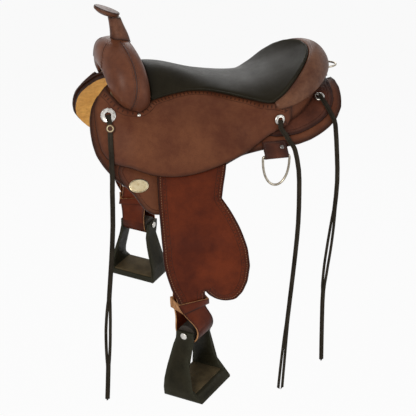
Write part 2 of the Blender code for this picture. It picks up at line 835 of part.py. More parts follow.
def make_seat_jockeys():
    lower = [(-0.315, 0.085), (-0.3185, 0.115), (-0.3185, 0.150), (-0.314, 0.185), (-0.300, 0.208),
             (-0.283, 0.219),
             (-0.256, 0.229), (-0.213, 0.246), (-0.167, 0.253), (-0.120, 0.251), (-0.070, 0.240),
             (-0.027, 0.226),
             (0.020, 0.207), (0.052, 0.186), (0.089, 0.164), (0.118, 0.152), (0.139, 0.145), (0.151, 0.132),
             (0.150, 0.116)]
    upper_stations = steps(0.109, seat_front, 16)
    upper = [(x, seat_edge_lay(round(min(x, 0.105), 4))[0] - seat_tuck) for x in upper_stations]
    upper = [(0.126, 0.108)] + upper
    upper += [(-0.190, 0.083), (-0.200, 0.092), (-0.212, 0.099), (-0.240, 0.098), (-0.260, 0.088),
              (-0.272, 0.070),
              (-0.283, 0.054), (-0.299, 0.060)]
    outline = [tuple(p) for p in smooth_line(lower, 2)] + upper
    room_outline = inset_outline(outline, jockey_room)
    for side in (left, right):
        name = side_names[side]
        shell = layer(outline, lambda x, d: jockey_height(x, d) - jockey_thickness, jockey_height, side)
        add_object(f"seat_jockey_{name}", shell, "brown_leather")
        room = layer(room_outline, lambda x, d: jockey_height(x, d) - jockey_thickness - 0.0012,
                     lambda x, d: jockey_height(x, d) + 0.0012, side)
        carve(bpy.data.objects["tree_fork"], add_object(f"jockey_room_{name}", room, "tree_wood"))


def cantle_arc(angle, depth, half_width):
    return Vector((cantle_centre + depth * math.cos(angle), half_width * math.sin(angle), 0))


def seam_point(angle):
    place = cantle_arc(angle, seat_dish_depth, seat_dish_half_width)
    place.z = seat_stations(place.x)[1]
    return place


def rim_point(angle):
    place = cantle_arc(angle, roll_depth, roll_half_width)
    place.z = mix(roll_end_height, roll_top_height, math.cos(angle) ** 2)
    return place


def roll_section(angle):
    """Section of the leather roll on the cantle, from the seat's seam over the rim and back underneath."""
    seam = seam_point(angle)
    rim = rim_point(angle)
    across = rim - seam
    width = across.length
    across.normalize()
    upright = Vector((0, 0, 1))
    up = (upright - across * upright.dot(across)).normalized()
    scale = roll_thickness * min(1.0, width / 0.06)
    shape = ((0.03, 0.30), (0.12, 0.56), (0.30, 0.72), (0.50, 0.70), (0.72, 0.52), (0.90, 0.24),
             (1.0, -0.08),
             (0.97, -0.34), (0.82, -0.46), (0.60, -0.42), (0.35, -0.32), (0.13, -0.10), (0.035, 0.04))
    return [seam + across * (u * width) + up * (v * scale) for u, v in shape]


def make_cantle():
    limit = math.radians(84)
    sections = [roll_section(mix(-limit, limit, i / 20)) for i in range(21)]
    for end, place in ((sections[0], 0), (sections[-1], None)):
        middle = sum(end, Vector()) / len(end)
        for share, ahead in ((0.82, 0.0050), (0.45, 0.0085)):
            cap = [middle.lerp(p, share) - Vector((ahead, 0, 0)) for p in end]
            sections.insert(0, cap) if place == 0 else sections.append(cap)
    add_object("cantle_roll", loft(sections), "brown_leather")

    def foot(angle, depth):
        place = cantle_arc(angle, cantle_foot_depth + depth, cantle_foot_half_width + depth)
        base = [drape(place.x, d, rigging_top + lay, right) for d in np.arange(0.0, 0.17, 0.004)]
        place.z = float(np.interp(abs(place.y), [p.y for p in base], [p.z for p in base]))
        return place

    back_limit = math.radians(70)
    back_angles = [mix(-back_limit, back_limit, i / 20) for i in range(21)]
    rings = []
    for angle in back_angles:
        section = roll_section(angle)
        high = section[9]
        across = (rim_point(angle) - seam_point(angle)).normalized()
        low_out = foot(angle, 0.0) + Vector((0, 0, 0.0004))
        low_in = foot(angle, -0.005) + Vector((0, 0, 0.0004))
        gap = Vector((0, 0, -0.0012))
        outer = high + gap
        inner = high + gap - across * 0.005
        middle_out = outer.lerp(low_out, 0.55) + Vector((0, 0, -0.002)) - across * 0.003
        middle_in = inner.lerp(low_in, 0.55) + Vector((0, 0, -0.002)) - across * 0.003
        rings.append([outer, middle_out, low_out, low_in, middle_in, inner])
    add_object("cantle_back", loft(rings), "brown_leather")

    rings = []
    for angle in back_angles:
        place_in = cantle_arc(angle, 0.097, 0.112)
        place_out = cantle_arc(angle, 0.113, 0.120)
        top_in = place_in.copy()
        top_in.z = seat_support(place_in.x, place_in.y) - 0.0011
        top_out = place_out.copy()
        top_out.z = seat_support(place_out.x, place_out.y) - 0.0020
        low_in, low_out = place_in.copy(), place_out.copy()
        for low in (low_in, low_out):
            low.z = top_at(min(low.x, bar_rear - 0.02), max(abs(low.y), bar_inner_drop), bar_cover) + 0.002
        rings.append([top_in, top_out, low_out, low_in])
    add_object("tree_cantle", loft(rings), "tree_wood")


# Skirts, linings and rigging.

skirt_outline = [
    (-0.262, 0.034), (-0.276, 0.042), (-0.291, 0.052), (-0.308, 0.064), (-0.321, 0.082), (-0.329, 0.105),
                 (-0.3325, 0.135),
    (-0.332, 0.165), (-0.327, 0.194), (-0.313, 0.222), (-0.292, 0.250), (-0.268, 0.270), (-0.240, 0.283),
                 (-0.205, 0.290),
    (-0.165, 0.290), (-0.120, 0.282), (-0.075, 0.258), (-0.030, 0.226), (0.020, 0.203), (0.070, 0.194),
                 (0.120, 0.193),
    (0.163, 0.188), (0.192, 0.182), (0.220, 0.173), (0.248, 0.160), (0.272, 0.143), (0.290, 0.118),
                 (0.300, 0.090),
    (0.305, 0.058), (0.306, 0.028), (0.303, 0.010), (0.200, 0.010), (0.060, 0.016), (-0.060, 0.024),
                 (-0.180, 0.028),
]
lining_inset = 0.006


def make_skirts():
    outline = smooth_loop(skirt_outline, 1)
    lining_outline = inset_outline(skirt_outline, lining_inset)
    for side in (left, right):
        name = side_names[side]
        shell = layer(lining_outline, lambda x, d: 0.0, lambda x, d: lining_thickness, side)
        add_object(f"skirt_lining_{name}", shell, "tan_lining")
        shell = layer(outline, lambda x, d: lining_thickness + lining_lay, lambda x, d: skirt_top, side)
        add_object(f"skirt_{name}", shell, "brown_leather")


def make_rear_jockeys():
    outline = smooth_loop([
        (0.090, 0.160), (0.130, 0.166), (0.168, 0.163), (0.200, 0.154), (0.230, 0.142), (0.255, 0.124),
                           (0.273, 0.100),
        (0.282, 0.070), (0.286, 0.038), (0.286, 0.008), (0.270, 0.006), (0.236, 0.010), (0.228, 0.045),
        (0.212, 0.075), (0.185, 0.100), (0.150, 0.116), (0.105, 0.124),
    ], 2)
    for side in (left, right):
        shell = layer(outline, lambda x, d: rigging_base, lambda x, d: rigging_top, side)
        add_object(f"rear_jockey_{side_names[side]}", shell, "brown_leather")


def fold_section(x, top_drop, bar_drop, side):
    """Section of a leather strap whose lower end is folded round a ring's bar."""
    bore = dee_wire_radius + dee_clearance
    centre_n = rigging_base - bore
    shape = [(top_drop, rigging_top), (bar_drop - 0.012, rigging_top)]
    turns = [math.radians(90 - 27 * step) for step in range(9)]
    shape += [(bar_drop + (bore + rigging_thickness) * math.cos(a),
               centre_n + (bore + rigging_thickness) * math.sin(a))
              for a in turns]
    shape += [(bar_drop + bore * math.cos(a), centre_n + bore * math.sin(a)) for a in reversed(turns)]
    shape += [(bar_drop - 0.012, rigging_base), (top_drop, rigging_base)]
    return [drape(x, d, n + 0.0006, side) for d, n in shape]


def dee_place(x, bar_drop, side):
    return drape(x, bar_drop, rigging_base + 0.0006 - dee_wire_radius - dee_clearance, side)


def dee_path(centre, width, length, along, down):
    """A D: a straight bar along the top and a round bow below it."""
    half = width / 2
    corner = 0.006
    path = [centre + along * (half * s) for s in (-0.78, -0.4, 0.0, 0.4, 0.78)]
    path.append(centre + along * (half - 0.002) + down * 0.0005)
    path.append(centre + along * half + down * (corner * 0.6))
    bow_start = corner * 1.6
    for i in range(15):
        a = math.pi * i / 14
        path.append(centre + along * (half * math.cos(a)) + down
                    * (bow_start + (length - bow_start) * math.sin(a) ** 0.9))
    path.append(centre - along * half + down * (corner * 0.6))
    path.append(centre - along * (half - 0.002) + down * 0.0005)
    return path


rear_dee_station, rear_dee_drop = 0.100, 0.212


def make_front_rigging():
    """In-skirt rigging: a leather tab behind the fender, and a slotted steel plate on it for the cinch strap."""
    outline = smooth_loop([
        (-0.284, 0.236), (-0.269, 0.270), (-0.254, 0.287), (-0.240, 0.314), (-0.223, 0.331), (-0.200, 0.335),
        (-0.130, 0.335), (-0.116, 0.315), (-0.112, 0.270), (-0.125, 0.225), (-0.180, 0.205), (-0.262, 0.210),
    ], 2)
    x0, x1 = rigging_plate_x
    d0, d1 = rigging_plate_drop
    corner = 0.008
    plate = [(x0, d0 + corner), (x0, d1 - corner), (x0 + corner, d1), (x1 - corner, d1), (x1, d1 - corner),
             (x1, d0 + corner), (x1 - corner, d0), (x0 + corner, d0)]
    base = rigging_top + 0.0016
    for side in (left, right):
        name = side_names[side]
        shell = layer(outline, lambda x, d: rigging_base, lambda x, d: rigging_top, side)
        add_object(f"front_rigging_{name}", shell, "brown_leather")

        middle = ((x0 + x1) / 2, (d0 + d1) / 2)
        frame = surface_frame(*middle, base, side)
        sections = [[frame @ Vector((x - middle[0], (d - middle[1]) * side, z))
                     for x, d in plate] for z in (0.0, rigging_plate_thickness)]
        made = add_object(f"rigging_plate_{name}", loft(sections), "bright_steel", frame)
        half_x, half_d = (x1 - x0) / 2 - 0.008, 0.007
        low = (d1 - middle[1] - 0.016) * side
        slot = [(-half_x, low - half_d + 0.003), (-half_x, low + half_d - 0.003),
                (-half_x + 0.003, low + half_d),
                (half_x - 0.003, low + half_d), (half_x, low + half_d - 0.003),
                (half_x, low - half_d + 0.003),
                (half_x - 0.003, low - half_d), (-half_x + 0.003, low - half_d)]
        cutter = loft([[frame @ Vector((x, y, z)) for x, y in slot] for z in (-0.01, 0.01)])
        carve(made, add_object(f"rigging_slot_{name}", cutter, "bright_steel", frame))


def make_rear_rigging():
    for side in (left, right):
        name = side_names[side]
        half = rear_dee_width / 2 - 0.004
        place = dee_place(rear_dee_station, rear_dee_drop, side)
        along = (dee_place(rear_dee_station + half, rear_dee_drop, side)
                 - dee_place(rear_dee_station - half, rear_dee_drop, side)).normalized()
        middle = fold_section(rear_dee_station, 0.177, rear_dee_drop, side)
        sections = [[p + along * (half * s) for p in middle] for s in (-1, 1)]
        add_object(f"rear_rigging_{name}", loft(sections), "brown_leather")
        down = (Vector((0, 0, -1)) + along * along.z).normalized()
        pivot = add_pivot(f"rear_dee_pivot_{name}", place)
        bar = dee_path(place, rear_dee_width, rear_dee_length, along, down)
        add_object(f"rear_dee_{name}", wire_loop(bar, along.cross(down), dee_wire_radius), "bright_steel",
                   Matrix.Translation(place), pivot)


crupper_bar = Vector((0.2725, 0, 0.0600))
crupper_ring_tilt = 0.0


def make_crupper_ring():
    """The ring behind the cantle and the leather keeper that holds it."""
    bore = crupper_wire_radius + dee_clearance
    wall = 0.003
    turns = [math.radians(126 - 28 * step) for step in range(10)]
    foot = -0.0128
    shape = [(foot, 0.0085)] + [((bore + wall) * math.cos(a), (bore + wall) * math.sin(a)) for a in turns]
    shape += [(foot, -0.0085), (foot, -0.0050)]
    shape += [(bore * math.cos(a), bore * math.sin(a)) for a in reversed(turns)] + [(foot, 0.0050)]
    half = crupper_ring_width / 2 - 0.008
    sections = [[crupper_bar + Vector((x, y, z)) for x, z in shape] for y in (-half, half)]
    add_object("crupper_keeper", loft(sections), "dark_brown_leather")
    back = Vector((math.cos(crupper_ring_tilt), 0, math.sin(crupper_ring_tilt)))
    path = dee_path(crupper_bar, crupper_ring_width, crupper_ring_length, Vector((0, 1, 0)), back)
    pivot = add_pivot("crupper_ring_pivot", crupper_bar)
    ring = wire_loop(path, Vector((0, 1, 0)).cross(back), crupper_wire_radius)
    add_object("crupper_ring", ring, "bright_steel", Matrix.Translation(crupper_bar), pivot)


def skirt_height(x, d):
    return skirt_top


def rigging_height(x, d):
    return rigging_top


# Small fittings.


def concho(name, frame, radius, hole):
    profile = [(hole, 0), (radius * 0.97, 0), (radius, 0.0010), (radius * 0.90, concho_height - 0.0012),
               (hole + 0.0012, concho_height)]
    add_object(name, turned(profile, 16, frame), "bright_steel", frame)


front_concho = (-0.287, 0.1105)
jockey_concho = (0.1185, 0.1345)
back_concho = (0.246, 0.075)
oval_plate_place = (-0.2406, 0.267)


def make_conchos():
    for side in (left, right):
        name = side_names[side]
        frame = frame_on(*front_concho, jockey_height, side, front_concho_lift, concho_radius)
        concho(f"front_concho_{name}", frame, concho_radius, concho_hole_radius)
        frame = frame_on(*jockey_concho, jockey_height, side, concho_lift, small_concho_radius)
        concho(f"jockey_concho_{name}", frame, small_concho_radius, small_concho_hole_radius)
        frame = frame_on(*back_concho, rigging_height, side, flat_lift, small_concho_radius)
        concho(f"rear_concho_{name}", frame, small_concho_radius, small_concho_hole_radius)


def make_oval_plates():
    half = plate_width / 2
    profile = [(half * 0.9, 0), (half, 0.0006), (half, 0.0016), (half * 0.93, 0.0026), (half * 0.55, 0.0032)]
    for side in (left, right):
        frame = surface_frame(*oval_plate_place, rigging_top + flat_lift, side)
        plate = turned_solid(profile, 22, frame, plate_length / plate_width)
        add_object(f"oval_plate_{side_names[side]}", plate, "brass_plate", frame)


# Fenders, stirrup straps and stirrups.


def hanger_frame(side):
    return surface_frame(stud_station, hanger_drop, fender_height(hanger_drop), side)


def make_hanger(side):
    """The stud on the tree bar that the fender's strap turns on."""
    name = side_names[side]
    frame = hanger_frame(side)
    under = fender_height(hanger_drop) - bar_height(stud_station, hanger_drop) - 0.0014
    head = fender_thickness + hanger_head_lift
    profile = [(hanger_head_radius, -under), (hanger_head_radius, -under + 0.0006),
               (hanger_stud_radius, -under + 0.0007),
               (hanger_stud_radius, head), (hanger_head_radius, head + 0.0003),
               (hanger_head_radius * 0.9, head + 0.002),
               (hanger_head_radius * 0.4, head + hanger_head_height)]
    add_object(f"fender_stud_{name}", turned_solid(profile, 14, frame), "bright_steel", frame)


def make_fender(side, pivot):
    name = side_names[side]
    half = strap_width / 2
    x0 = hanger_station
    outline = [
        (x0 - half + 0.014, 0.098), (x0 - half, 0.112), (x0 - half, 0.165), (x0 - half - 0.006, 0.190),
        (-0.192, 0.222), (-0.198, 0.256), (-0.205, 0.320), (-0.207, 0.358), (-0.204, 0.390), (-0.198, 0.420),
        (-0.190, 0.455), (-0.180, 0.490), (x0 - half + 0.001, 0.520), (x0 - half, 0.552),
               (x0 + half - 0.003, 0.552),
        (x0 + half - 0.003, 0.530), (-0.1030, 0.512), (-0.1022, 0.504), (-0.0996, 0.503), (-0.093, 0.518),
               (-0.080, 0.533),
        (-0.064, 0.537), (-0.045, 0.530), (-0.028, 0.513), (-0.016, 0.487), (-0.010, 0.448), (-0.014, 0.412),
        (-0.026, 0.376), (-0.043, 0.336), (-0.056, 0.309), (-0.047, 0.280), (-0.037, 0.252), (-0.029, 0.226),
        (-0.040, 0.202), (-0.072, 0.184), (x0 + half, 0.160), (x0 + half, 0.112), (x0 + half - 0.014, 0.098),
    ]
    shell = drape_pattern(outline, lambda x, d: fender_point(x, d, fender_height(d), side),
                          lambda x, d: fender_point(x, d, fender_height(d) + fender_thickness, side),
                          lambda x, d: x < fender_notch_station + 0.02 and d > 0.390)
    made = add_object(f"fender_{name}", shell, "dark_brown_leather", Matrix.Translation(pivot.location),
                      pivot)
    radius = hanger_stud_radius + hanger_clearance
    bore = turned_solid([(radius, -0.02), (radius, 0.02)], 14, hanger_frame(side))
    cutter = add_object(f"fender_bore_{name}", bore, "bright_steel", Matrix.Translation(pivot.location),
                        pivot)
    carve(made, cutter)


def strap_section(half, out_low, out_high, z, side, columns=5):
    """A loop of points round the strap's axis at height z, long sides first to last."""
    across = [mix(-half, half, i / (columns - 1)) for i in range(columns)]
    return ([strap_point(a, out_low, z, side) for a in across]
            + [strap_point(a, out_high, z, side) for a in reversed(across)])


def strap_band(half, out_low, out_high, wall, heights, side):
    """A band round the strap: its bore's half width and two faces, its wall, and the heights of its rings."""
    bm = bmesh.new()
    rows = []
    for z in heights:
        loops = (strap_section(half + wall, out_low - wall, out_high + wall, z, side),
                 strap_section(half, out_low, out_high, z, side))
        rows.append([[bm.verts.new(p) for p in loop] for loop in loops])
    count = len(rows[0][0])
    for i in range(count):
        j = (i + 1) % count
        for upper, lower in zip(rows, rows[1:]):
            for k in (0, 1):
                bm.faces.new([upper[k][i], upper[k][j], lower[k][j], lower[k][i]])
        for outer, inner in (rows[0], rows[-1]):
            bm.faces.new([outer[i], outer[j], inner[j], inner[i]])
    return bm


strap_outer_top = -0.300
strap_inner_top = -0.292


def make_stirrup_strap(side, pivot):
    """One strap: down behind the fender, round the roller, and up again on the inside."""
    half = strap_width / 2
    loop_centre = bolt_height + loop_spread - roller_radius - 0.0004
    heights = [strap_outer_top, twist_start + 0.001] + steps(twist_start - 0.009, loop_centre + 0.004, 11)
    rings = []
    for z in heights:
        low = ply_spread(z)
        rings.append(strap_section(half, low, low + strap_thickness, z, side))
    for i in range(11):
        a = math.pi * i / 10
        ring = []
        for r, ends in ((loop_spread, (-half, half)), (loop_spread + strap_thickness, (half, -half))):
            z = loop_centre - r * math.sin(a)
            ring += [strap_point(mix(*ends, k / 4), r * math.cos(a), z, side) for k in range(5)]
        rings.append(ring)
    for z in reversed(heights[1:]):
        low = ply_spread(z)
        rings.append(strap_section(half, -low, -low - strap_thickness, z, side))
    rings.append(strap_section(half, -strap_spread, -strap_spread - strap_thickness, strap_inner_top, side))
    add_object(f"stirrup_strap_{side_names[side]}", loft(rings), "brown_leather",
               Matrix.Translation(pivot.location), pivot)


hobble_top, hobble_height = -0.378, 0.021


def make_hobble_strap(side, pivot):
    """A narrow strap round the fender's tail and both plies."""
    room = 0.0015
    out_high = strap_spread + strap_thickness + neck_gap + fender_thickness + room
    heights = steps(hobble_top, hobble_top - hobble_height, 4)
    band = strap_band(strap_width / 2 + room, -strap_spread - strap_thickness - room, out_high, 0.003,
                      heights, side)
    add_object(f"hobble_strap_{side_names[side]}", band, "dark_brown_leather",
               Matrix.Translation(pivot.location), pivot)


buckle_top, buckle_height = -0.294, 0.046
sleeve_height = 0.018


def box_between(corners, side):
    """A block on the strap, between two corners given as across, out and height."""
    (a0, o0, z0), (a1, o1, z1) = corners
    rings = [[strap_point(a, o, z, side) for a, o in ((a0, o0), (a1, o0), (a1, o1), (a0, o1))]
             for z in (z0, z1)]
    return loft(rings)


def make_buckle(side, pivot):
    """The buckle plate on the inner ply, and its locking sleeve at the low end, from where it slides up."""
    name = side_names[side]
    frame = Matrix.Translation(pivot.location)
    back = -strap_spread - strap_thickness - lay
    plate_half = strap_width / 2 - 0.006
    plate = box_between(((-plate_half, back, buckle_top),
                         (plate_half, back - 0.002, buckle_top - buckle_height)), side)
    add_object(f"buckle_plate_{name}", plate, "bright_steel", frame, pivot)

    out_high = -strap_spread + 0.0006
    out_low = back - 0.002 - 0.0006
    top = buckle_top - buckle_height + sleeve_height + 0.003
    sleeve = strap_band(strap_width / 2 + 0.0008, out_low, out_high, 0.0015, (top, top - sleeve_height),
                        side)
    place = strap_point(0, (out_low + out_high) / 2, top - sleeve_height / 2, side)
    add_object(f"buckle_sleeve_{name}", sleeve, "bright_steel", Matrix.Translation(place), pivot)


def stirrup_frame_matrix(side):
    """At the bolt: X across the stirrup along the bolt, Y the way the foot goes through, Z up."""
    across = (strap_point(1, 0, bolt_height, side) - strap_point(0, 0, bolt_height, side)).normalized()
    up = Matrix.Rotation(side * stirrup_hang, 3, across) @ Vector((0, 0, 1))
    frame = Matrix((across, up.cross(across), up)).transposed().to_4x4()
    return Matrix.Translation(strap_point(0, 0, bolt_height, side)) @ frame


def arch_line(inside):
    """Half of the stirrup's outline from the tread to the ear: half width and height below the bolt."""
    bottom = -stirrup_drop
    top_half = stirrup_top_width / 2 + (0 if inside else stirrup_wall)
    low_half = stirrup_tread_width / 2 - (stirrup_wall if inside else 0)
    if inside:
        return [(low_half, bottom + tread_thickness), (low_half, bottom + 0.045),
                (mix(low_half, top_half, 0.5), bottom + 0.085),
                (top_half, -0.030), (top_half, 0.009)]
    return [(low_half - 0.004, bottom), (low_half, bottom + 0.004), (low_half, bottom + 0.045),
            (mix(low_half, top_half, 0.5) + 0.001, bottom + 0.085), (top_half, -0.030), (top_half, 0.009)]


# How far the arms reach, as a share of the tread's half depth, from the bottom (0) to the bolt (1).
stirrup_toe_cut = ((0, 0.15, 0.46, 0.76, 0.90, 1), (1, 1, 0.85, 0.64, 0.45, 0.41))
stirrup_heel_cut = ((0, 0.05, 0.10, 0.17, 0.35, 0.55, 0.75, 0.88, 1),
                    (1, 0.93, 0.70, 0.42, 0.24, 0.16, 0.24, 0.42, 0.44))


def make_stirrup(side, strap_pivot):
    name = side_names[side]
    frame = stirrup_frame_matrix(side)
    pivot = add_pivot(f"stirrup_pivot_{name}", frame.translation)
    pivot.parent = strap_pivot
    pivot.matrix_parent_inverse = Matrix.Translation(strap_pivot.location).inverted()
    pivot_inverse = pivot.location.copy()

    outer = [tuple(p) for p in smooth_line(arch_line(False), 2)]
    inner = [tuple(p) for p in smooth_line(arch_line(True), 2)]
    bottom = outer[0][1]
    outline = [(-w, z) for w, z in reversed(outer)] + [(w, z) for w, z in outer]
    outline += [(w, z) for w, z in reversed(inner)] + [(-w, z) for w, z in inner]

    def arm_edge(z, toe):
        """Reach of the stirrup at height z, towards the toe or towards the heel."""
        share = (z - bottom) / (0.009 - bottom)
        cuts = stirrup_toe_cut
        if not toe:
            cuts = stirrup_heel_cut
        return stirrup_tread_depth / 2 * float(np.interp(share, *cuts))

    rings = []
    for share in (0, 0.25, 0.5, 0.75, 1):
        rings.append([frame @ Vector((w, -side * mix(arm_edge(z, True), -arm_edge(z, False), share), z))
                      for w, z in outline])
    made = add_object(f"stirrup_{name}", loft(rings), "stirrup_leather", frame)

    bolt_half = stirrup_top_width / 2 + stirrup_wall
    hole = bolt_radius + 0.0004
    turn = Matrix.Rotation(math.pi / 2, 4, "Y")
    bore = turned_solid([(hole, -bolt_half - 0.02), (hole, bolt_half + 0.02)], 12, frame @ turn)
    cutter = add_object(f"stirrup_bore_{name}", bore, "bright_steel", frame)
    carve(made, cutter)
    bolt_head = 0.0085
    profile = [(bolt_head * 0.5, -bolt_half - 0.0050), (bolt_head, -bolt_half - 0.0035),
               (bolt_head, -bolt_half - 0.0005),
               (bolt_radius, -bolt_half - 0.0004), (bolt_radius, bolt_half + 0.0004),
               (bolt_head, bolt_half + 0.0005),
               (bolt_head, bolt_half + 0.0035), (bolt_head * 0.5, bolt_half + 0.0050)]
    bolt = add_object(f"stirrup_bolt_{name}", turned_solid(profile, 12, frame @ turn), "bright_steel", frame)

    pad_half = stirrup_tread_width / 2 - stirrup_wall - 0.0006
    pad_bottom = bottom + tread_thickness + 0.0004
    pad_top = pad_bottom + tread_pad_thickness
    pad = loft([[frame @ Vector((w, -side * reach, z)) for w, z in (
        (-pad_half, pad_bottom), (pad_half, pad_bottom), (pad_half, pad_top), (-pad_half, pad_top))]
        for reach in (arm_edge(pad_bottom, True) - 0.003, 0.003 - arm_edge(pad_top, False))])
    tread = add_object(f"stirrup_tread_{name}", pad, "tread_rubber", frame)
    for piece in (made, cutter, bolt, tread):
        piece.parent = pivot
        piece.matrix_parent_inverse = Matrix.Translation(pivot_inverse).inverted()

    tube = [(bolt_radius + 0.0004, -0.037), (roller_radius, -0.037), (roller_radius, 0.037),
            (bolt_radius + 0.0004, 0.037)]
    roller = turned(tube, 16, frame @ turn)
    add_object(f"stirrup_roller_{name}", roller, "tree_wood", Matrix.Translation(strap_pivot.location),
               strap_pivot)


def make_fenders_and_stirrups():
    for side in (left, right):
        make_hanger(side)
        pivot = add_pivot(f"fender_pivot_{side_names[side]}", hanger_frame(side).translation)
        make_fender(side, pivot)
        make_stirrup_strap(side, pivot)
        make_hobble_strap(side, pivot)
        make_buckle(side, pivot)
        make_stirrup(side, pivot)


# Saddle strings: each lies on the leather below its concho and then hangs; its two tails part near the end.

string_routes = {
    "front_string": {
        "concho": front_concho, "lift": front_concho_lift, "leather": jockey_height,
        "on_leather": [(-0.2890, 0.139, jockey_height, 0.0072), (-0.2905, 0.155, jockey_height, 0.0062),
                       (-0.293, 0.180, jockey_height, 0.0052), (-0.295, 0.205, jockey_height, 0.0046),
                       (-0.298, 0.228, skirt_height, 0.0110), (-0.299, 0.250, skirt_height, 0.0060)],
        "hanging": [(-0.301, -0.200, -0.135), (-0.303, -0.200, -0.220), (-0.310, -0.199, -0.315),
                    (-0.318, -0.198, -0.400),
                    (-0.325, -0.197, -0.500), (-0.329, -0.197, -0.610), (-0.335, -0.197, -0.705)],
        "part": 0.76, "spread": 0.006,
    },
    "jockey_string": {
        "concho": jockey_concho, "lift": concho_lift, "leather": jockey_height,
        "on_leather": [(0.131, 0.170, rigging_height, 0.0075), (0.139, 0.187, skirt_height, 0.0065),
                       (0.146, 0.204, skirt_height, 0.0060)],
        "hanging": [(0.151, -0.206, -0.130), (0.154, -0.207, -0.190), (0.155, -0.206, -0.270),
                    (0.151, -0.204, -0.360),
                    (0.143, -0.203, -0.470), (0.134, -0.202, -0.590), (0.127, -0.202, -0.700),
                    (0.124, -0.202, -0.755)],
        "part": 0.76, "spread": 0.007,
    },
    "rear_string": {
        "concho": back_concho, "lift": flat_lift, "leather": rigging_height,
        "on_leather": [(0.252, 0.105, rigging_height, 0.0040), (0.256, 0.125, rigging_height, 0.0024),
                       (0.258, 0.145, rigging_height, 0.0024), (0.259, 0.164, skirt_height, 0.0055)],
        "hanging": [(0.264, -0.169, -0.120), (0.269, -0.167, -0.190), (0.266, -0.166, -0.270),
                    (0.258, -0.164, -0.370),
                    (0.249, -0.162, -0.480), (0.250, -0.162, -0.590), (0.254, -0.162, -0.715)],
        "part": 0.55, "spread": 0.003,
    },
}


def make_strings():
    """Flat thongs on the left side; the cut-out of the right side shows none."""
    for name, route in string_routes.items():
        string_lift = route["lift"] + concho_height + string_thickness / 2 + 0.0018
        start = frame_on(*route["concho"], route["leather"], left, string_lift, small_concho_radius)
        over_rim = start @ Vector((0.001, -0.017, 0))
        places = [start.translation, over_rim]
        places += [drape(x, d, leather(x, d) + lift, left) for x, d, leather, lift in route["on_leather"]]
        places += [Vector(p) for p in route["hanging"]]
        line = [Vector(p) for p in smooth_line(places, 2)]
        count = len(line)
        half = string_width / 2
        bm = bmesh.new()
        rows = []
        for i, p in enumerate(line):
            tangent = (line[min(i + 1, count - 1)] - line[max(i - 1, 0)]).normalized()
            across = (Vector((1, 0, 0)) - tangent * tangent.x).normalized()
            out = tangent.cross(across).normalized() * (string_thickness / 2)
            parted = ease((i / (count - 1) - route["part"]) / (1 - route["part"]) * 2.2)
            gap = route["spread"] / 2 * parted
            columns = (-half - gap, -gap, gap, half + gap)
            is_split = i / (count - 1) > route["part"]
            row = [[bm.verts.new(p + across * c + out * s) for s in (1, -1)] for c in columns]
            if not is_split:
                for k in (0, 1):
                    bm.verts.remove(row[2][k])
                row[2] = row[1]
            rows.append((row, is_split))
        for (one, one_split), (two, two_split) in zip(rows, rows[1:]):
            for a, b in ((0, 1), (2, 3)):
                bm.faces.new([one[a][0], one[b][0], two[b][0], two[a][0]])
                bm.faces.new([one[a][1], two[a][1], two[b][1], one[b][1]])
            for k in (0, 3):
                bm.faces.new([one[k][0], two[k][0], two[k][1], one[k][1]])
            if two_split and one_split:
                for k in (1, 2):
                    bm.faces.new([one[k][0], two[k][0], two[k][1], one[k][1]])
            elif two_split:
                bm.faces.new([one[1][0], two[1][0], two[1][1], one[1][1]])
                bm.faces.new([one[1][0], two[2][0], two[2][1], one[1][1]])
        top = rows[0][0]
        bm.faces.new([top[0][0], top[1][0], top[3][0], top[3][1], top[1][1], top[0][1]])
        tip = rows[-1][0]
        for a, b in ((0, 1), (2, 3)):
            bm.faces.new([tip[a][0], tip[b][0], tip[b][1], tip[a][1]])
        add_object(name, bm, "black_leather", sharp=60)


def clear_scene():
    for old in list(bpy.data.objects):
        bpy.data.objects.remove(old)


def main():
    clear_scene()
    make_tree_bars()
    cover = make_fork()
    make_horn(cover)
    make_ground_seat()
    make_seat_pad()
    make_seat_jockeys()
    make_cantle()
    make_skirts()
    make_rear_jockeys()
    make_front_rigging()
    make_rear_rigging()
    make_crupper_ring()
    make_conchos()
    make_oval_plates()
    make_fenders_and_stirrups()
    make_strings()


main()
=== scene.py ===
import json
import math

import bmesh
import bpy
import numpy as np
from mathutils import Matrix, Vector
from mathutils.bvhtree import BVHTree
from mathutils.kdtree import KDTree


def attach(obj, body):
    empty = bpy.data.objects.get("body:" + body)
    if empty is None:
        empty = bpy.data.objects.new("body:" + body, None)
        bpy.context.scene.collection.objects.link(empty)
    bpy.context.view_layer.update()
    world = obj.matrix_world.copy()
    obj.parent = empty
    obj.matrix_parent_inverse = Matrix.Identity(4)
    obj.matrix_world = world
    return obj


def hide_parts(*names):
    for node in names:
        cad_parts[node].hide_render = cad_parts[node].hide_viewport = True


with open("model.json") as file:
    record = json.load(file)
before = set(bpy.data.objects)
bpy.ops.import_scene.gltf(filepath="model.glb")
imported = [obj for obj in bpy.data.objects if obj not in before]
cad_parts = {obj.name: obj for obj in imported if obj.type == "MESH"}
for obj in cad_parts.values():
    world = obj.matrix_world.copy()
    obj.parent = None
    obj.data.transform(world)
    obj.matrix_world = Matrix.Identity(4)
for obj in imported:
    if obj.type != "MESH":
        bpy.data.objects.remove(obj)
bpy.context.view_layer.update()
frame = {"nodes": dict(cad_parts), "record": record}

nodes = frame["nodes"]
sides = {"left": -1, "right": 1}  # the rider's left is -Y
bodyOf = {node: body for body, members in frame["record"]["behaviour"]["bodies"].items() for node in members}
slotOf = {row["node"]: row["material_slot"] for row in frame["record"]["subparts"]}
for modelNode in nodes.values():
    modelNode.select_set(False)
print("frame loaded:", len(nodes), "solids")

# Camera and light

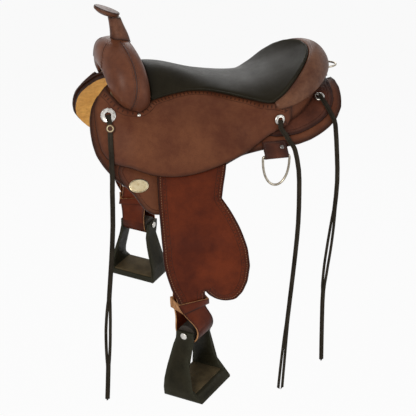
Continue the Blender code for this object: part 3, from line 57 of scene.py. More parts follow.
camera = {"azimuth": -16, "elevation": 25, "lens": 91.7, "sensor": 36, "place": (-0.701, -2.390, 0.859)}
room = {"floorHeight": -1.45, "floorSize": 30, "floorWhite": 0.86, "skyLight": 0.50, "backdropWhite": 1.0,
        "skyColour": (0.97, 0.98, 1.0, 1), "floorRough": 0.9, "floorGlow": 0.9}
lamps = {
    "key": {"place": (-2.3, -3.1, 1.5), "size": 1.5, "watts": 96, "colour": (1.0, 0.96, 0.90)},
    "fill": {"place": (2.6, -2.6, 0.5), "size": 2.2, "watts": 24, "colour": (1.0, 0.98, 0.96)},
    "back": {"place": (0.8, 3.0, 1.6), "size": 1.8, "watts": 26, "colour": (1.0, 1.0, 1.0)},
}
lampTarget = Vector((0, 0, -0.15))


def aimFrom(azimuth, elevation):
    a, e = math.radians(azimuth), math.radians(elevation)
    back = Vector((math.sin(a) * math.cos(e), -math.cos(a) * math.cos(e), math.sin(e)))
    return (-back).to_track_quat("-Z", "Y")


def makeCamera():
    bpy.ops.object.camera_add(location=camera["place"])
    made = bpy.context.object
    made.name = "photoCamera"
    made.rotation_mode = "QUATERNION"
    made.rotation_quaternion = aimFrom(camera["azimuth"], camera["elevation"])
    made.data.lens = camera["lens"]
    made.data.sensor_width = camera["sensor"]
    bpy.context.scene.camera = made
    bpy.context.scene.view_settings.view_transform = "Standard"


def makeLamps():
    for name, lamp in lamps.items():
        bpy.ops.object.light_add(type="AREA", location=lamp["place"])
        made = bpy.context.object
        made.name = name + "Lamp"
        made.rotation_mode = "QUATERNION"
        made.rotation_quaternion = (lampTarget - Vector(lamp["place"])).to_track_quat("-Z", "Y")
        made.data.size = lamp["size"]
        made.data.energy = lamp["watts"]
        made.data.color = lamp["colour"]


def whiteRays(tree):
    path = tree.nodes.new("ShaderNodeLightPath")  # what the camera, metal and glass see
    seen = addMath(tree, "MAXIMUM", path.outputs["Is Camera Ray"], path.outputs["Is Glossy Ray"])
    return addMath(tree, "MAXIMUM", seen, path.outputs["Is Transmission Ray"])


def makeRoom():
    world = bpy.data.worlds.new("studio")
    bpy.context.scene.world = world
    world.use_nodes = True
    tree = world.node_tree
    tree.nodes.clear()
    sky, white = tree.nodes.new("ShaderNodeBackground"), tree.nodes.new("ShaderNodeBackground")
    sky.inputs["Color"].default_value = room["skyColour"]
    sky.inputs["Strength"].default_value = room["skyLight"]
    white.inputs["Color"].default_value = (1, 1, 1, 1)
    white.inputs["Strength"].default_value = room["backdropWhite"]
    mix, out = tree.nodes.new("ShaderNodeMixShader"), tree.nodes.new("ShaderNodeOutputWorld")
    tree.links.new(whiteRays(tree), mix.inputs[0])
    tree.links.new(sky.outputs[0], mix.inputs[1])
    tree.links.new(white.outputs[0], mix.inputs[2])
    tree.links.new(mix.outputs[0], out.inputs[0])

    bpy.ops.mesh.primitive_plane_add(size=room["floorSize"], location=(0, 0, room["floorHeight"]))
    floor = bpy.context.object
    floor.name = "floor"
    bpy.ops.object.transform_apply(location=True, rotation=True, scale=True)
    paint = bpy.data.materials.new("paleFloor")
    paint.use_nodes = True
    tree = paint.node_tree
    shader = tree.nodes["Principled BSDF"]
    shader.inputs["Base Color"].default_value = (room["floorWhite"],) * 3 + (1,)
    shader.inputs["Roughness"].default_value = room["floorRough"]
    glow, mix = tree.nodes.new("ShaderNodeEmission"), tree.nodes.new("ShaderNodeMixShader")
    glow.inputs["Strength"].default_value = 1.0
    tree.links.new(addMath(tree, "MULTIPLY", whiteRays(tree), room["floorGlow"]), mix.inputs[0])
    tree.links.new(shader.outputs[0], mix.inputs[1])
    tree.links.new(glow.outputs[0], mix.inputs[2])
    tree.links.new(mix.outputs[0], tree.nodes["Material Output"].inputs["Surface"])
    floor.data.materials.append(paint)


# Working on a piece

weldDistance = 0.00002
hideEdge, fittingEdge = math.radians(40), math.radians(35)  # corners sharper than these are edges


def workOn(piece):
    if bpy.context.object and bpy.context.object.mode != "OBJECT":
        bpy.ops.object.mode_set(mode="OBJECT")
    bpy.ops.object.select_all(action="DESELECT")
    piece.select_set(True)
    bpy.context.view_layer.objects.active = piece


def finishModifier(piece, kind, **values):
    workOn(piece)
    made = piece.modifiers.new(kind.lower(), kind)
    for key, value in values.items():
        setattr(made, key, value)
    bpy.ops.object.modifier_apply(modifier=made.name)


def bevelCorners(piece, width, angle):
    finishModifier(piece, "BEVEL", width=width, segments=2, limit_method="ANGLE", angle_limit=angle)


def applyPlace(piece, sharpAngle=40):
    workOn(piece)
    bpy.ops.object.transform_apply(location=True, rotation=True, scale=True)
    bpy.ops.object.shade_smooth_by_angle(angle=math.radians(sharpAngle))


def finishPiece(piece, name, body, material, replaced=()):
    piece.name = name
    piece.data.name = name
    materials = material if isinstance(material, (list, tuple)) else [material]
    for index, one in enumerate(materials):
        if index < len(piece.data.materials):
            piece.data.materials[index] = one
        else:
            piece.data.materials.append(one)
    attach(piece, body)
    if replaced:
        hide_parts(*replaced)
    return piece


def addMesh(name, mesh):
    piece = bpy.data.objects.new(name, mesh)
    bpy.context.scene.collection.objects.link(piece)
    return piece


def openMesh(piece):
    bm = bmesh.new()
    bm.from_mesh(piece.data)
    bm.faces.ensure_lookup_table()
    bm.faces.index_update()
    return bm


def solidCopy(node):
    mesh = nodes[node].data.copy()
    mesh.materials.clear()
    piece = addMesh(node + "Copy", mesh)
    for name in [layer.name for layer in mesh.uv_layers]:
        mesh.uv_layers.remove(mesh.uv_layers[name])
    workOn(piece)
    if mesh.has_custom_normals:
        bpy.ops.mesh.customdata_custom_splitnormals_clear()
    bpy.ops.object.mode_set(mode="EDIT")
    bpy.ops.mesh.select_all(action="SELECT")
    bpy.ops.mesh.remove_doubles(threshold=weldDistance)
    bpy.ops.mesh.dissolve_degenerate(threshold=weldDistance)
    bpy.ops.mesh.tris_convert_to_quads(face_threshold=math.radians(50), shape_threshold=math.radians(60))
    bpy.ops.object.mode_set(mode="OBJECT")
    return piece


def faceGroups(bm, angle):
    for face in bm.faces:
        face.tag = False
    groups = []
    for start in bm.faces:  # faces joined without a sharp edge between them
        if start.tag:
            continue
        start.tag = True
        group, waiting = [start], [start]
        while waiting:
            for edge in waiting.pop().edges:
                if len(edge.link_faces) == 2 and edge.calc_face_angle() < angle:
                    for other in edge.link_faces:
                        if not other.tag:
                            other.tag = True
                            group.append(other)
                            waiting.append(other)
        groups.append(group)
    return sorted(groups, key=lambda group: -sum(face.calc_area() for face in group))


def outlineOf(group):
    inside = {face.index for face in group}
    following = {}
    for face in group:
        for loop in face.loops:
            if any(other.index not in inside for other in loop.edge.link_faces):
                following[loop.vert.index] = (loop.vert.co.copy(), loop.link_loop_next.vert.index)
    loops = []
    while following:
        start = next(iter(following))
        loop, at = [], start
        while at in following:
            place, after = following.pop(at)
            loop.append(place)
            at = after
        loops.append(loop)
    return max(loops, key=lambda loop: sum((a - b).length for a, b in zip(loop, loop[1:] + loop[:1])))


def evenPath(points, spacing, closed=True, softening=2):
    line = [Vector(p) for p in points]
    line = line + [line[0]] if closed else line
    along = np.concatenate([[0], np.cumsum([(b - a).length for a, b in zip(line, line[1:])])])
    count = max(4, round(along[-1] / spacing))
    at = np.linspace(0, along[-1], count + 1)
    places = np.stack([np.interp(at, along, [p[k] for p in line]) for k in range(3)], axis=1)
    if closed:
        places = places[:-1]
        for _ in range(softening):
            places = (np.roll(places, 1, 0) + 2 * places + np.roll(places, -1, 0)) / 4
    return [Vector(p) for p in places]


def surfaceOf(piece):
    bm = openMesh(piece)
    tree = BVHTree.FromBMesh(bm)
    bm.free()
    return tree


def faceTree(group):
    places, faces = [], []
    for face in group:
        faces.append(list(range(len(places), len(places) + len(face.verts))))
        places += [v.co.copy() for v in face.verts]
    return BVHTree.FromPolygons(places, faces)


insetSlack = 0.35  # a spot further off its inset than this share is dropped


def insetSpots(loop, surface, inset, spacing, flat):
    path = evenPath(loop, spacing)
    spots, count = [], len(path)
    for i, place in enumerate(path):
        tangent = (path[(i + 1) % count] - path[i - 1]).normalized()
        _, normal, _, _ = flat.find_nearest(place)
        inward = normal.cross(tangent).normalized()
        spot, normal, _, _ = flat.find_nearest(place + inward * inset)
        if abs((spot - place).length - inset) < inset * insetSlack:
            spot, normal, _, _ = surface.find_nearest(spot)
            spots.append((spot, normal, tangent))
    return spots


def placeCopies(template, spots, turn=0.0, sink=0.0):
    places = [v.co.copy() for v in template.data.vertices]
    faces = [list(p.vertices) for p in template.data.polygons]
    allPlaces, allFaces = [], []
    for spot, normal, tangent in spots:
        along = (tangent - normal * tangent.dot(normal)).normalized()
        across = normal.cross(along)
        basis = Matrix((along, across, normal)).transposed() @ Matrix.Rotation(turn, 3, "Z")
        base = len(allPlaces)
        allPlaces += [spot - normal * sink + basis @ p for p in places]
        allFaces += [[base + i for i in face] for face in faces]
    mesh = bpy.data.meshes.new("copies")
    mesh.from_pydata(allPlaces, [], allFaces)
    mesh.shade_smooth()
    return addMesh("copies", mesh)


# Nearness to the given edges, 1 on them and 0 at reach: the mask for the painted edge shade and sheen.
def edgeShade(piece, places, reach):
    tree = KDTree(len(places))
    for index, place in enumerate(places):
        tree.insert(place, index)
    tree.balance()
    shade = np.array([max(0.0, 1 - tree.find(v.co)[2] / reach) for v in piece.data.vertices], np.float32)
    piece.data.attributes.new("edgeShade", "FLOAT", "POINT").data.foreach_set("value", shade)


# Shader groups

def newGroup(name, inputs, outputs):
    group = bpy.data.node_groups.new(name, "ShaderNodeTree")
    for label, kind, value in inputs:
        socket = group.interface.new_socket(label, in_out="INPUT", socket_type=kind)
        socket.default_value = value
    for label, kind in outputs:
        group.interface.new_socket(label, in_out="OUTPUT", socket_type=kind)
    return group, group.nodes.new("NodeGroupInput"), group.nodes.new("NodeGroupOutput")


def addMath(tree, operation, a, b=None, clamp=False):
    made = tree.nodes.new("ShaderNodeMath")
    made.operation = operation
    made.use_clamp = clamp
    for socket, value in zip(made.inputs, (a, b)):
        if value is None:
            continue
        if isinstance(value, (int, float)):
            socket.default_value = value
        else:
            tree.links.new(value, socket)
    return made.outputs[0]


def addNoise(tree, size, detail=3.0, rough=0.55, stretch=None):
    place = tree.nodes.new("ShaderNodeTexCoord").outputs["Object"]
    if stretch:
        mapping = tree.nodes.new("ShaderNodeMapping")
        mapping.inputs["Scale"].default_value = stretch
        tree.links.new(place, mapping.inputs["Vector"])
        place = mapping.outputs[0]
    made = tree.nodes.new("ShaderNodeTexNoise")
    made.inputs["Detail"].default_value = detail
    made.inputs["Roughness"].default_value = rough
    tree.links.new(place, made.inputs["Vector"])
    if isinstance(size, (int, float)):
        made.inputs["Scale"].default_value = 1 / size
    else:
        tree.links.new(addMath(tree, "DIVIDE", 1.0, size), made.inputs["Scale"])
    return made.outputs["Fac"]


def addRange(tree, value, low, high, toLow=0.0, toHigh=1.0):
    made = tree.nodes.new("ShaderNodeMapRange")
    made.inputs["From Min"].default_value = low
    made.inputs["From Max"].default_value = high
    made.inputs["To Min"].default_value = toLow
    made.inputs["To Max"].default_value = toHigh
    tree.links.new(value, made.inputs["Value"])
    return made.outputs[0]


def addMix(tree, share, a, b):
    made = tree.nodes.new("ShaderNodeMix")
    made.data_type = "RGBA"
    for socket, value in ((made.inputs[0], share), (made.inputs[6], a), (made.inputs[7], b)):
        if isinstance(value, (int, float)):
            socket.default_value = value
        elif isinstance(value, tuple):
            socket.default_value = (*value, 1) if len(value) == 3 else value
        else:
            tree.links.new(value, socket)
    return made.outputs[2]


def makeGrainGroup():
    group, given, out = newGroup("hideGrain", (("Pore Size", "NodeSocketFloat", 0.0016),
                                               ("Crease Size", "NodeSocketFloat", 0.03),
                                               ("Crease Share", "NodeSocketFloat", 0.5)),
                                 (("Height", "NodeSocketFloat"), ("Pores", "NodeSocketFloat")))
    place = group.nodes.new("ShaderNodeTexCoord").outputs["Object"]
    cells = group.nodes.new("ShaderNodeTexVoronoi")
    cells.feature = "DISTANCE_TO_EDGE"
    group.links.new(place, cells.inputs["Vector"])
    group.links.new(addMath(group, "DIVIDE", 1.0, given.outputs["Pore Size"]), cells.inputs["Scale"])
    pores = addRange(group, cells.outputs["Distance"], 0.0, 0.16)
    fine = addNoise(group, given.outputs["Pore Size"], 2.0)
    creases = addNoise(group, given.outputs["Crease Size"], 4.0, 0.6)
    folded = addMath(group, "ABSOLUTE", addMath(group, "SUBTRACT", creases, 0.5))
    lines = addRange(group, folded, 0.0, 0.05)
    creased = addMath(group, "MULTIPLY", lines, given.outputs["Crease Share"])
    height = addMath(group, "ADD", addMath(group, "MULTIPLY", pores, 0.35), addMath(group, "MULTIPLY", fine, 0.3))
    group.links.new(addMath(group, "ADD", height, creased), out.inputs["Height"])
    group.links.new(pores, out.inputs["Pores"])
    return group


def makeDyeEdgeLightGroup():
    group, given, out = newGroup("dyeAndEdgeLight", (("Pale", "NodeSocketColor", (0.3, 0.1, 0.05, 1)),
                                                ("Deep", "NodeSocketColor", (0.1, 0.03, 0.02, 1)),
                                                ("Burnt", "NodeSocketColor", (0.03, 0.01, 0.01, 1)),
                                                ("Patch Size", "NodeSocketFloat", 0.06),
                                                ("Edge", "NodeSocketFloat", 0.0)),
                                 (("Colour", "NodeSocketColor"), ("Patches", "NodeSocketFloat")))
    broad = addNoise(group, given.outputs["Patch Size"], 2.0, 0.5)
    small = addNoise(group, addMath(group, "MULTIPLY", given.outputs["Patch Size"], 0.16), 3.0, 0.6)
    patches = addRange(group, addMath(group, "ADD", addMath(group, "MULTIPLY", broad, 0.7),
                                      addMath(group, "MULTIPLY", small, 0.3)), 0.36, 0.64)
    flat = addMix(group, patches, given.outputs["Deep"], given.outputs["Pale"])
    # Near the edges (the Edge mask) the colour goes over to the edge colour: a darker band that is partly the
    # leather's edge finish and partly painted shade, or a painted sheen where that colour is lighter than the face.
    ragged = addMath(group, "MULTIPLY", given.outputs["Edge"], addRange(group, small, 0.3, 0.7, 0.75, 1.2), True)
    group.links.new(addMix(group, ragged, flat, given.outputs["Burnt"]), out.inputs["Colour"])
    group.links.new(patches, out.inputs["Patches"])
    return group


def makeScuffGroup():
    group, given, out = newGroup("scuffs", (("Size", "NodeSocketFloat", 0.01),
                                            ("Amount", "NodeSocketFloat", 0.5)), (("Mask", "NodeSocketFloat"),))
    long = addNoise(group, given.outputs["Size"], 5.0, 0.7, (1.0, 1.0, 0.25))
    mask = addRange(group, long, 0.56, 0.74)
    group.links.new(addMath(group, "MULTIPLY", mask, given.outputs["Amount"]), out.inputs["Mask"])
    return group


def useGroup(tree, group, **values):
    made = tree.nodes.new("ShaderNodeGroup")
    made.node_tree = group
    for key, value in values.items():
        socket = made.inputs[key.replace("_", " ")]
        if isinstance(value, (int, float)):
            socket.default_value = value
        elif isinstance(value, tuple):
            socket.default_value = (*value, 1)
        else:
            tree.links.new(value, socket)
    return made


# Materials

# Each leather's third colour is used in the pores and in the band along its edges; along the edges it stands partly
# for the darker edge finish and partly for painted shade, and where it is lighter than the face it is a painted
# sheen.
leathers = {
    "jockeyLeather": {"pale": (0.150, 0.052, 0.023), "deep": (0.090, 0.026, 0.012), "poreAndEdgeLight": (0.016, 0.006, 0.004),
                      "patch": 0.085, "pore": 0.0017, "crease": 0.050, "creases": 0.35, "rough": (0.36, 0.50),
                      "depth": 0.00012, "scuff": 0.35, "gloss": 0.11},
    "swellLeather": {"pale": (0.160, 0.056, 0.027), "deep": (0.092, 0.030, 0.015), "poreAndEdgeLight": (0.018, 0.007, 0.005),
                     "patch": 0.070, "pore": 0.0016, "crease": 0.040, "creases": 0.35, "rough": (0.30, 0.44),
                     "depth": 0.00010, "scuff": 0.30, "gloss": 0.14},
    "fenderLeather": {"pale": (0.132, 0.025, 0.008), "deep": (0.064, 0.012, 0.005), "poreAndEdgeLight": (0.014, 0.005, 0.003),
                      "patch": 0.110, "pore": 0.0018, "crease": 0.060, "creases": 0.25, "rough": (0.36, 0.48),
                      "depth": 0.00010, "scuff": 0.35, "gloss": 0.08},
    "rollLeather": {"pale": (0.165, 0.072, 0.038), "deep": (0.080, 0.030, 0.017), "poreAndEdgeLight": (0.018, 0.008, 0.006),
                    "patch": 0.050, "pore": 0.0016, "crease": 0.035, "creases": 0.45, "rough": (0.32, 0.46),
                    "depth": 0.00012, "scuff": 0.45, "gloss": 0.12},
    "weltLeather": {"pale": (0.070, 0.024, 0.013), "deep": (0.036, 0.013, 0.008), "poreAndEdgeLight": (0.014, 0.006, 0.004),
                    "patch": 0.020, "pore": 0.0012, "crease": 0.008, "creases": 0.60, "rough": (0.36, 0.50),
                    "depth": 0.00012, "scuff": 0.4, "gloss": 0.22, "cutEdge": True},
    "hornLeather": {"pale": (0.150, 0.062, 0.034), "deep": (0.070, 0.024, 0.012), "poreAndEdgeLight": (0.016, 0.007, 0.005),
                    "patch": 0.020, "pore": 0.0014, "crease": 0.020, "creases": 0.45, "rough": (0.32, 0.46),
                    "depth": 0.00014, "scuff": 0.7, "gloss": 0.14},
    # The seat's third colour is lighter than its face: a painted sheen along the pad's edges.
    "seatLeather": {"pale": (0.015, 0.012, 0.007), "deep": (0.009, 0.007, 0.004), "poreAndEdgeLight": (0.034, 0.031, 0.020),
                    "patch": 0.080, "pore": 0.0015, "crease": 0.035, "creases": 0.40, "rough": (0.30, 0.42),
                    "depth": 0.00012, "scuff": 0.20, "gloss": 0.04},
    "rearLeather": {"pale": (0.110, 0.034, 0.018), "deep": (0.060, 0.018, 0.010), "poreAndEdgeLight": (0.014, 0.005, 0.004),
                    "patch": 0.050, "pore": 0.0017, "crease": 0.030, "creases": 0.60, "rough": (0.36, 0.50),
                    "depth": 0.00016, "scuff": 0.45, "gloss": 0.12},
    "stampedLeather": {"pale": (0.048, 0.016, 0.008), "deep": (0.028, 0.009, 0.005), "poreAndEdgeLight": (0.010, 0.004, 0.003),
                       "patch": 0.012, "pore": 0.0012, "crease": 0.010, "creases": 0.40, "rough": (0.50, 0.62),
                       "depth": 0.00008, "scuff": 0.3, "gloss": 0.12, "cutEdge": True},
    "thongLeather": {"pale": (0.030, 0.024, 0.016), "deep": (0.014, 0.011, 0.007), "poreAndEdgeLight": (0.007, 0.005, 0.004),
                     "patch": 0.040, "pore": 0.0013, "crease": 0.015, "creases": 0.60, "rough": (0.50, 0.66),
                     "depth": 0.00014, "scuff": 0.3, "gloss": 0.08},
    # The stirrup leather's third colour is lighter than its face: along the edges it is partly wear and partly a
    # painted sheen.
    "stirrupLeather": {"pale": (0.018, 0.015, 0.008), "deep": (0.007, 0.006, 0.003), "poreAndEdgeLight": (0.026, 0.025, 0.016),
                       "patch": 0.050, "pore": 0.0015, "crease": 0.030, "creases": 0.35, "rough": (0.36, 0.50),
                       "depth": 0.00012, "scuff": 0.5, "gloss": 0.06},
    "edgeLeather": {"pale": (0.040, 0.016, 0.009), "deep": (0.018, 0.007, 0.005), "poreAndEdgeLight": (0.008, 0.004, 0.003),
                    "patch": 0.012, "pore": 0.0011, "crease": 0.010, "creases": 0.50, "rough": (0.45, 0.60),
                    "depth": 0.00010, "scuff": 0.4, "gloss": 0.16, "cutEdge": True},
    "rawEdge": {"pale": (0.48, 0.25, 0.11), "deep": (0.26, 0.12, 0.05), "poreAndEdgeLight": (0.08, 0.035, 0.02),
                "patch": 0.010, "pore": 0.0010, "crease": 0.006, "creases": 0.60, "rough": (0.70, 0.85),
                "depth": 0.00012, "scuff": 0.4, "gloss": 0.15, "cutEdge": True},
}
metals = {
    "silverMetal": {"bright": (0.66, 0.64, 0.60), "dull": (0.34, 0.32, 0.29), "rough": (0.20, 0.38), "size": 0.006},
    "paleBrass": {"bright": (0.62, 0.52, 0.33), "dull": (0.40, 0.31, 0.17), "rough": (0.26, 0.42), "size": 0.009},
    "darkMetal": {"bright": (0.20, 0.19, 0.18), "dull": (0.09, 0.08, 0.08), "rough": (0.35, 0.50), "size": 0.006},
    "dullRing": {"bright": (0.42, 0.38, 0.31), "dull": (0.20, 0.17, 0.13), "rough": (0.24, 0.40), "size": 0.006},
}
lining = {"pale": (0.72, 0.38, 0.085), "deep": (0.52, 0.24, 0.045), "fibre": 0.0012, "rough": 0.95}
woods = {"treeWood": {"pale": (0.46, 0.31, 0.17), "deep": (0.24, 0.15, 0.08), "ring": 0.012},
         "rollerWood": {"pale": (0.026, 0.018, 0.010), "deep": (0.012, 0.008, 0.005), "ring": 0.006}}
treadRubber = {"pale": (0.075, 0.055, 0.027), "deep": (0.045, 0.032, 0.015), "grain": 0.0020}
threads = {"darkThread": (0.040, 0.018, 0.010), "tanThread": (0.26, 0.13, 0.06)}
finishes = {}


def startMaterial(name):
    material = bpy.data.materials.new(name)
    material.use_nodes = True
    tree = material.node_tree
    return material, tree, tree.nodes["Principled BSDF"]


def bumpFrom(tree, shader, height, depth):
    bump = tree.nodes.new("ShaderNodeBump")
    bump.inputs["Strength"].default_value = 1.0
    bump.inputs["Distance"].default_value = depth
    tree.links.new(height, bump.inputs["Height"])
    tree.links.new(bump.outputs[0], shader.inputs["Normal"])


def makeLeather(name, groups):
    look = leathers[name]
    material, tree, shader = startMaterial(name)
    # The edgeShade mask brings in the edge colour: partly the darker edge finish, partly painted shade, and a
    # painted sheen on the seat and stirrup; cut edges take none.
    edge = tree.nodes.new("ShaderNodeAttribute")
    edge.attribute_name = "edgeShade"
    dye = useGroup(tree, groups["dye"], Pale=look["pale"], Deep=look["deep"], Burnt=look["poreAndEdgeLight"],
                   Patch_Size=look["patch"], Edge=0.0 if look.get("cutEdge") else edge.outputs["Fac"])
    grain = useGroup(tree, groups["grain"], Pore_Size=look["pore"], Crease_Size=look["crease"],
                     Crease_Share=look["creases"])
    scuff = useGroup(tree, groups["scuff"], Size=look["patch"] * 0.25, Amount=look["scuff"])
    wearAndEdgeLight = addMix(tree, addMath(tree, "MULTIPLY", scuff.outputs["Mask"], 0.45), dye.outputs["Colour"], look["pale"])
    tree.links.new(addMix(tree, addRange(tree, grain.outputs["Pores"], 0.0, 1.0, 0.30, 0.0), wearAndEdgeLight, look["poreAndEdgeLight"]),
                   shader.inputs["Base Color"])
    low, high = look["rough"]
    tree.links.new(addMath(tree, "ADD", addRange(tree, dye.outputs["Patches"], 0.0, 1.0, high, low),
                           addMath(tree, "MULTIPLY", scuff.outputs["Mask"], 0.18)), shader.inputs["Roughness"])
    shader.inputs["Specular IOR Level"].default_value = look["gloss"]
    bumpFrom(tree, shader, grain.outputs["Height"], look["depth"])
    return material


def makeMetal(name, groups):
    look = metals[name]
    material, tree, shader = startMaterial(name)
    tarnish = addRange(tree, addNoise(tree, look["size"], 4.0, 0.65), 0.42, 0.66)
    tree.links.new(addMix(tree, tarnish, look["bright"], look["dull"]), shader.inputs["Base Color"])
    scuff = useGroup(tree, groups["scuff"], Size=look["size"] * 0.4, Amount=0.8)
    low, high = look["rough"]
    tree.links.new(addMath(tree, "ADD", addRange(tree, tarnish, 0.0, 1.0, low, high),
                           addMath(tree, "MULTIPLY", scuff.outputs["Mask"], 0.12)), shader.inputs["Roughness"])
    shader.inputs["Metallic"].default_value = 1.0
    bumpFrom(tree, shader, scuff.outputs["Mask"], 0.00003)
    return material


def makeLining():
    material, tree, shader = startMaterial("linedFleece")
    patches = addRange(tree, addNoise(tree, 0.012, 4.0, 0.7), 0.35, 0.65)
    fibres = addNoise(tree, lining["fibre"], 4.0, 0.7)
    edge = tree.nodes.new("ShaderNodeAttribute")
    edge.attribute_name = "edgeShade"
    base = addMix(tree, patches, lining["deep"], lining["pale"])
    tree.links.new(addMix(tree, addMath(tree, "MULTIPLY", edge.outputs["Fac"], 0.5), base, lining["deep"]),
                   shader.inputs["Base Color"])
    shader.inputs["Roughness"].default_value = lining["rough"]
    shader.inputs["Sheen Weight"].default_value = 0.15
    shader.inputs["Specular IOR Level"].default_value = 0.1
    bumpFrom(tree, shader, fibres, 0.0010)
    return material


def makeWood(name):
    look = woods[name]
    material, tree, shader = startMaterial(name)
    rings = addNoise(tree, look["ring"], 4.0, 0.6, (0.08, 1.0, 1.0))
    tree.links.new(addMix(tree, addRange(tree, rings, 0.35, 0.65), look["deep"], look["pale"]),
                   shader.inputs["Base Color"])
    tree.links.new(addRange(tree, rings, 0.3, 0.7, 0.6, 0.75), shader.inputs["Roughness"])
    bumpFrom(tree, shader, rings, 0.0002)
    return material


def makeRubber():
    material, tree, shader = startMaterial("treadRubber")
    speckle = addNoise(tree, treadRubber["grain"], 3.0, 0.7)
    dust = addNoise(tree, 0.03, 3.0, 0.6)
    tree.links.new(addMix(tree, addRange(tree, dust, 0.35, 0.65), treadRubber["deep"], treadRubber["pale"]),
                   shader.inputs["Base Color"])
    tree.links.new(addRange(tree, speckle, 0.3, 0.7, 0.72, 0.90), shader.inputs["Roughness"])
    shader.inputs["Specular IOR Level"].default_value = 0.15
    bumpFrom(tree, shader, speckle, 0.0003)
    return material


def makeThread(name):
    material, tree, shader = startMaterial(name)
    colour = threads[name]
    twist = addNoise(tree, 0.0009, 2.0, 0.5)
    tree.links.new(addMix(tree, addRange(tree, twist, 0.35, 0.65), tuple(c * 0.6 for c in colour), colour),
                   shader.inputs["Base Color"])
    shader.inputs["Roughness"].default_value = 0.7
    bumpFrom(tree, shader, twist, 0.0002)
    return material


def makeMaterials():
    groups = {"grain": makeGrainGroup(), "dye": makeDyeEdgeLightGroup(), "scuff": makeScuffGroup()}
    for name in leathers:
        finishes[name] = makeLeather(name, groups)
    for name in metals:
        finishes[name] = makeMetal(name, groups)
    for name in threads:
        finishes[name] = makeThread(name)
    finishes["linedFleece"] = makeLining()
    for name in woods:
        finishes[name] = makeWood(name)
    finishes["treadRubber"] = makeRubber()
    plain = {"brown_leather": "jockeyLeather", "dark_brown_leather": "fenderLeather", "black_leather": "seatLeather",
             "tan_lining": "linedFleece", "tree_wood": "treeWood", "bright_steel": "silverMetal",
             "pale_plate": "paleBrass", "stirrup_leather": "stirrupLeather", "tread_rubber": "treadRubber"}
    for node, solid in nodes.items():
        for place in solid.material_slots:
            place.material = finishes["rollerWood" if "roller" in node else plain[slotOf[node]]]
    print("materials:", len(finishes))


# Saddle strings

strings = {
    "front_string": [(-0.2894, -0.1185, 0.0243), (-0.2882, -0.1294, 0.0113), (-0.2890, -0.1366, -0.0028),
                     (-0.2905, -0.1453, -0.0182), (-0.2930, -0.1605, -0.0404), (-0.2950, -0.1752, -0.0621),
                     (-0.2980, -0.1890, -0.0813), (-0.2990, -0.1974, -0.1028), (-0.301, -0.200, -0.135),
                     (-0.303, -0.200, -0.220), (-0.310, -0.199, -0.315), (-0.318, -0.198, -0.400),
                     (-0.325, -0.197, -0.500), (-0.329, -0.197, -0.610), (-0.335, -0.197, -0.705)],
    "jockey_string": [(0.1202, -0.1578, -0.0171), (0.1183, -0.1599, -0.0339), (0.1310, -0.1663, -0.0540),
                      (0.1390, -0.1756, -0.0699), (0.1460, -0.1882, -0.0821), (0.151, -0.206, -0.130),
                      (0.154, -0.207, -0.190), (0.155, -0.206, -0.270), (0.151, -0.204, -0.360),
                      (0.143, -0.203, -0.470), (0.134, -0.202, -0.590), (0.127, -0.202, -0.700),
                      (0.124, -0.202, -0.755)],
    "rear_string": [(0.2449, -0.0844, 0.0116), (0.2471, -0.0998, 0.0047), (0.2520, -0.1114, -0.0061),
                    (0.2560, -0.1285, -0.0179), (0.2580, -0.1457, -0.0294), (0.2590, -0.1605, -0.0421),
                    (0.264, -0.169, -0.120), (0.269, -0.167, -0.190), (0.266, -0.166, -0.270),
                    (0.258, -0.164, -0.370), (0.249, -0.162, -0.480), (0.250, -0.162, -0.590),
                    (0.254, -0.162, -0.715)],
}
thong = {"width": 0.011, "stiffness": "limp", "strand": 0.0076, "thick": 0.0015, "together": 0.0019,
         "apart": 0.0052, "slant": 1.5, "step": 0.006, "layered": 0.56,
         "opens": {"front_string": (0.62, 0.86), "jockey_string": (0.74, 1.40), "rear_string": (0.42, 0.72)}}
strandSection = [(-1, -0.4), (-0.82, -1), (0.82, -1), (1, -0.4), (1, 0.4), (0.82, 1), (-0.82, 1), (-1, 0.4)]


def roundedLine(points, parts=2):
    line = [np.array(p, dtype=float) for p in points]
    ends = [2 * line[0] - line[1]] + line + [2 * line[-1] - line[-2]]
    rounded = []
    for a, b, c, d in zip(ends, ends[1:], ends[2:], ends[3:]):
        for step in range(parts):
            t = step / parts
            rounded.append(0.5 * (2 * b + (c - a) * t + (2 * a - 5 * b + 4 * c - d) * t * t
                                  + (3 * b - a - 3 * c + d) * t ** 3))
    return rounded + [line[-1]]


def opening(share, opens):
    start, end = opens
    if share <= start or share >= end:
        return 0.0
    return math.sin(math.pi * (share - start) / (end - start)) ** 0.8


def makeStrand(bm, path, hand, opens):
    last = len(path) - 1
    rings = []
    for i, place in enumerate(path):
        tangent = (path[min(i + 1, last)] - path[max(i - 1, 0)]).normalized()
        across = (Vector((1, 0, 0)) - tangent * tangent.x).normalized()
        out = tangent.cross(across).normalized()
        apart = thong["together"] + (thong["apart"] - thong["together"]) * opening(i / last, opens)
        middle = place + across * hand * apart + out * hand * thong["thick"] * thong["layered"]
        slide = tangent * thong["slant"] * thong["strand"] / 2 if i == last else Vector()
        rings.append([bm.verts.new(middle + across * u * thong["strand"] / 2 + out * v * thong["thick"] / 2
                                   - slide * (1 + u * hand)) for u, v in strandSection])
    for one, two in zip(rings, rings[1:]):
        for k in range(8):
            bm.faces.new((one[k], two[k], two[(k + 1) % 8], one[(k + 1) % 8]))
    bm.faces.new(rings[0])
    bm.faces.new(list(reversed(rings[-1])))


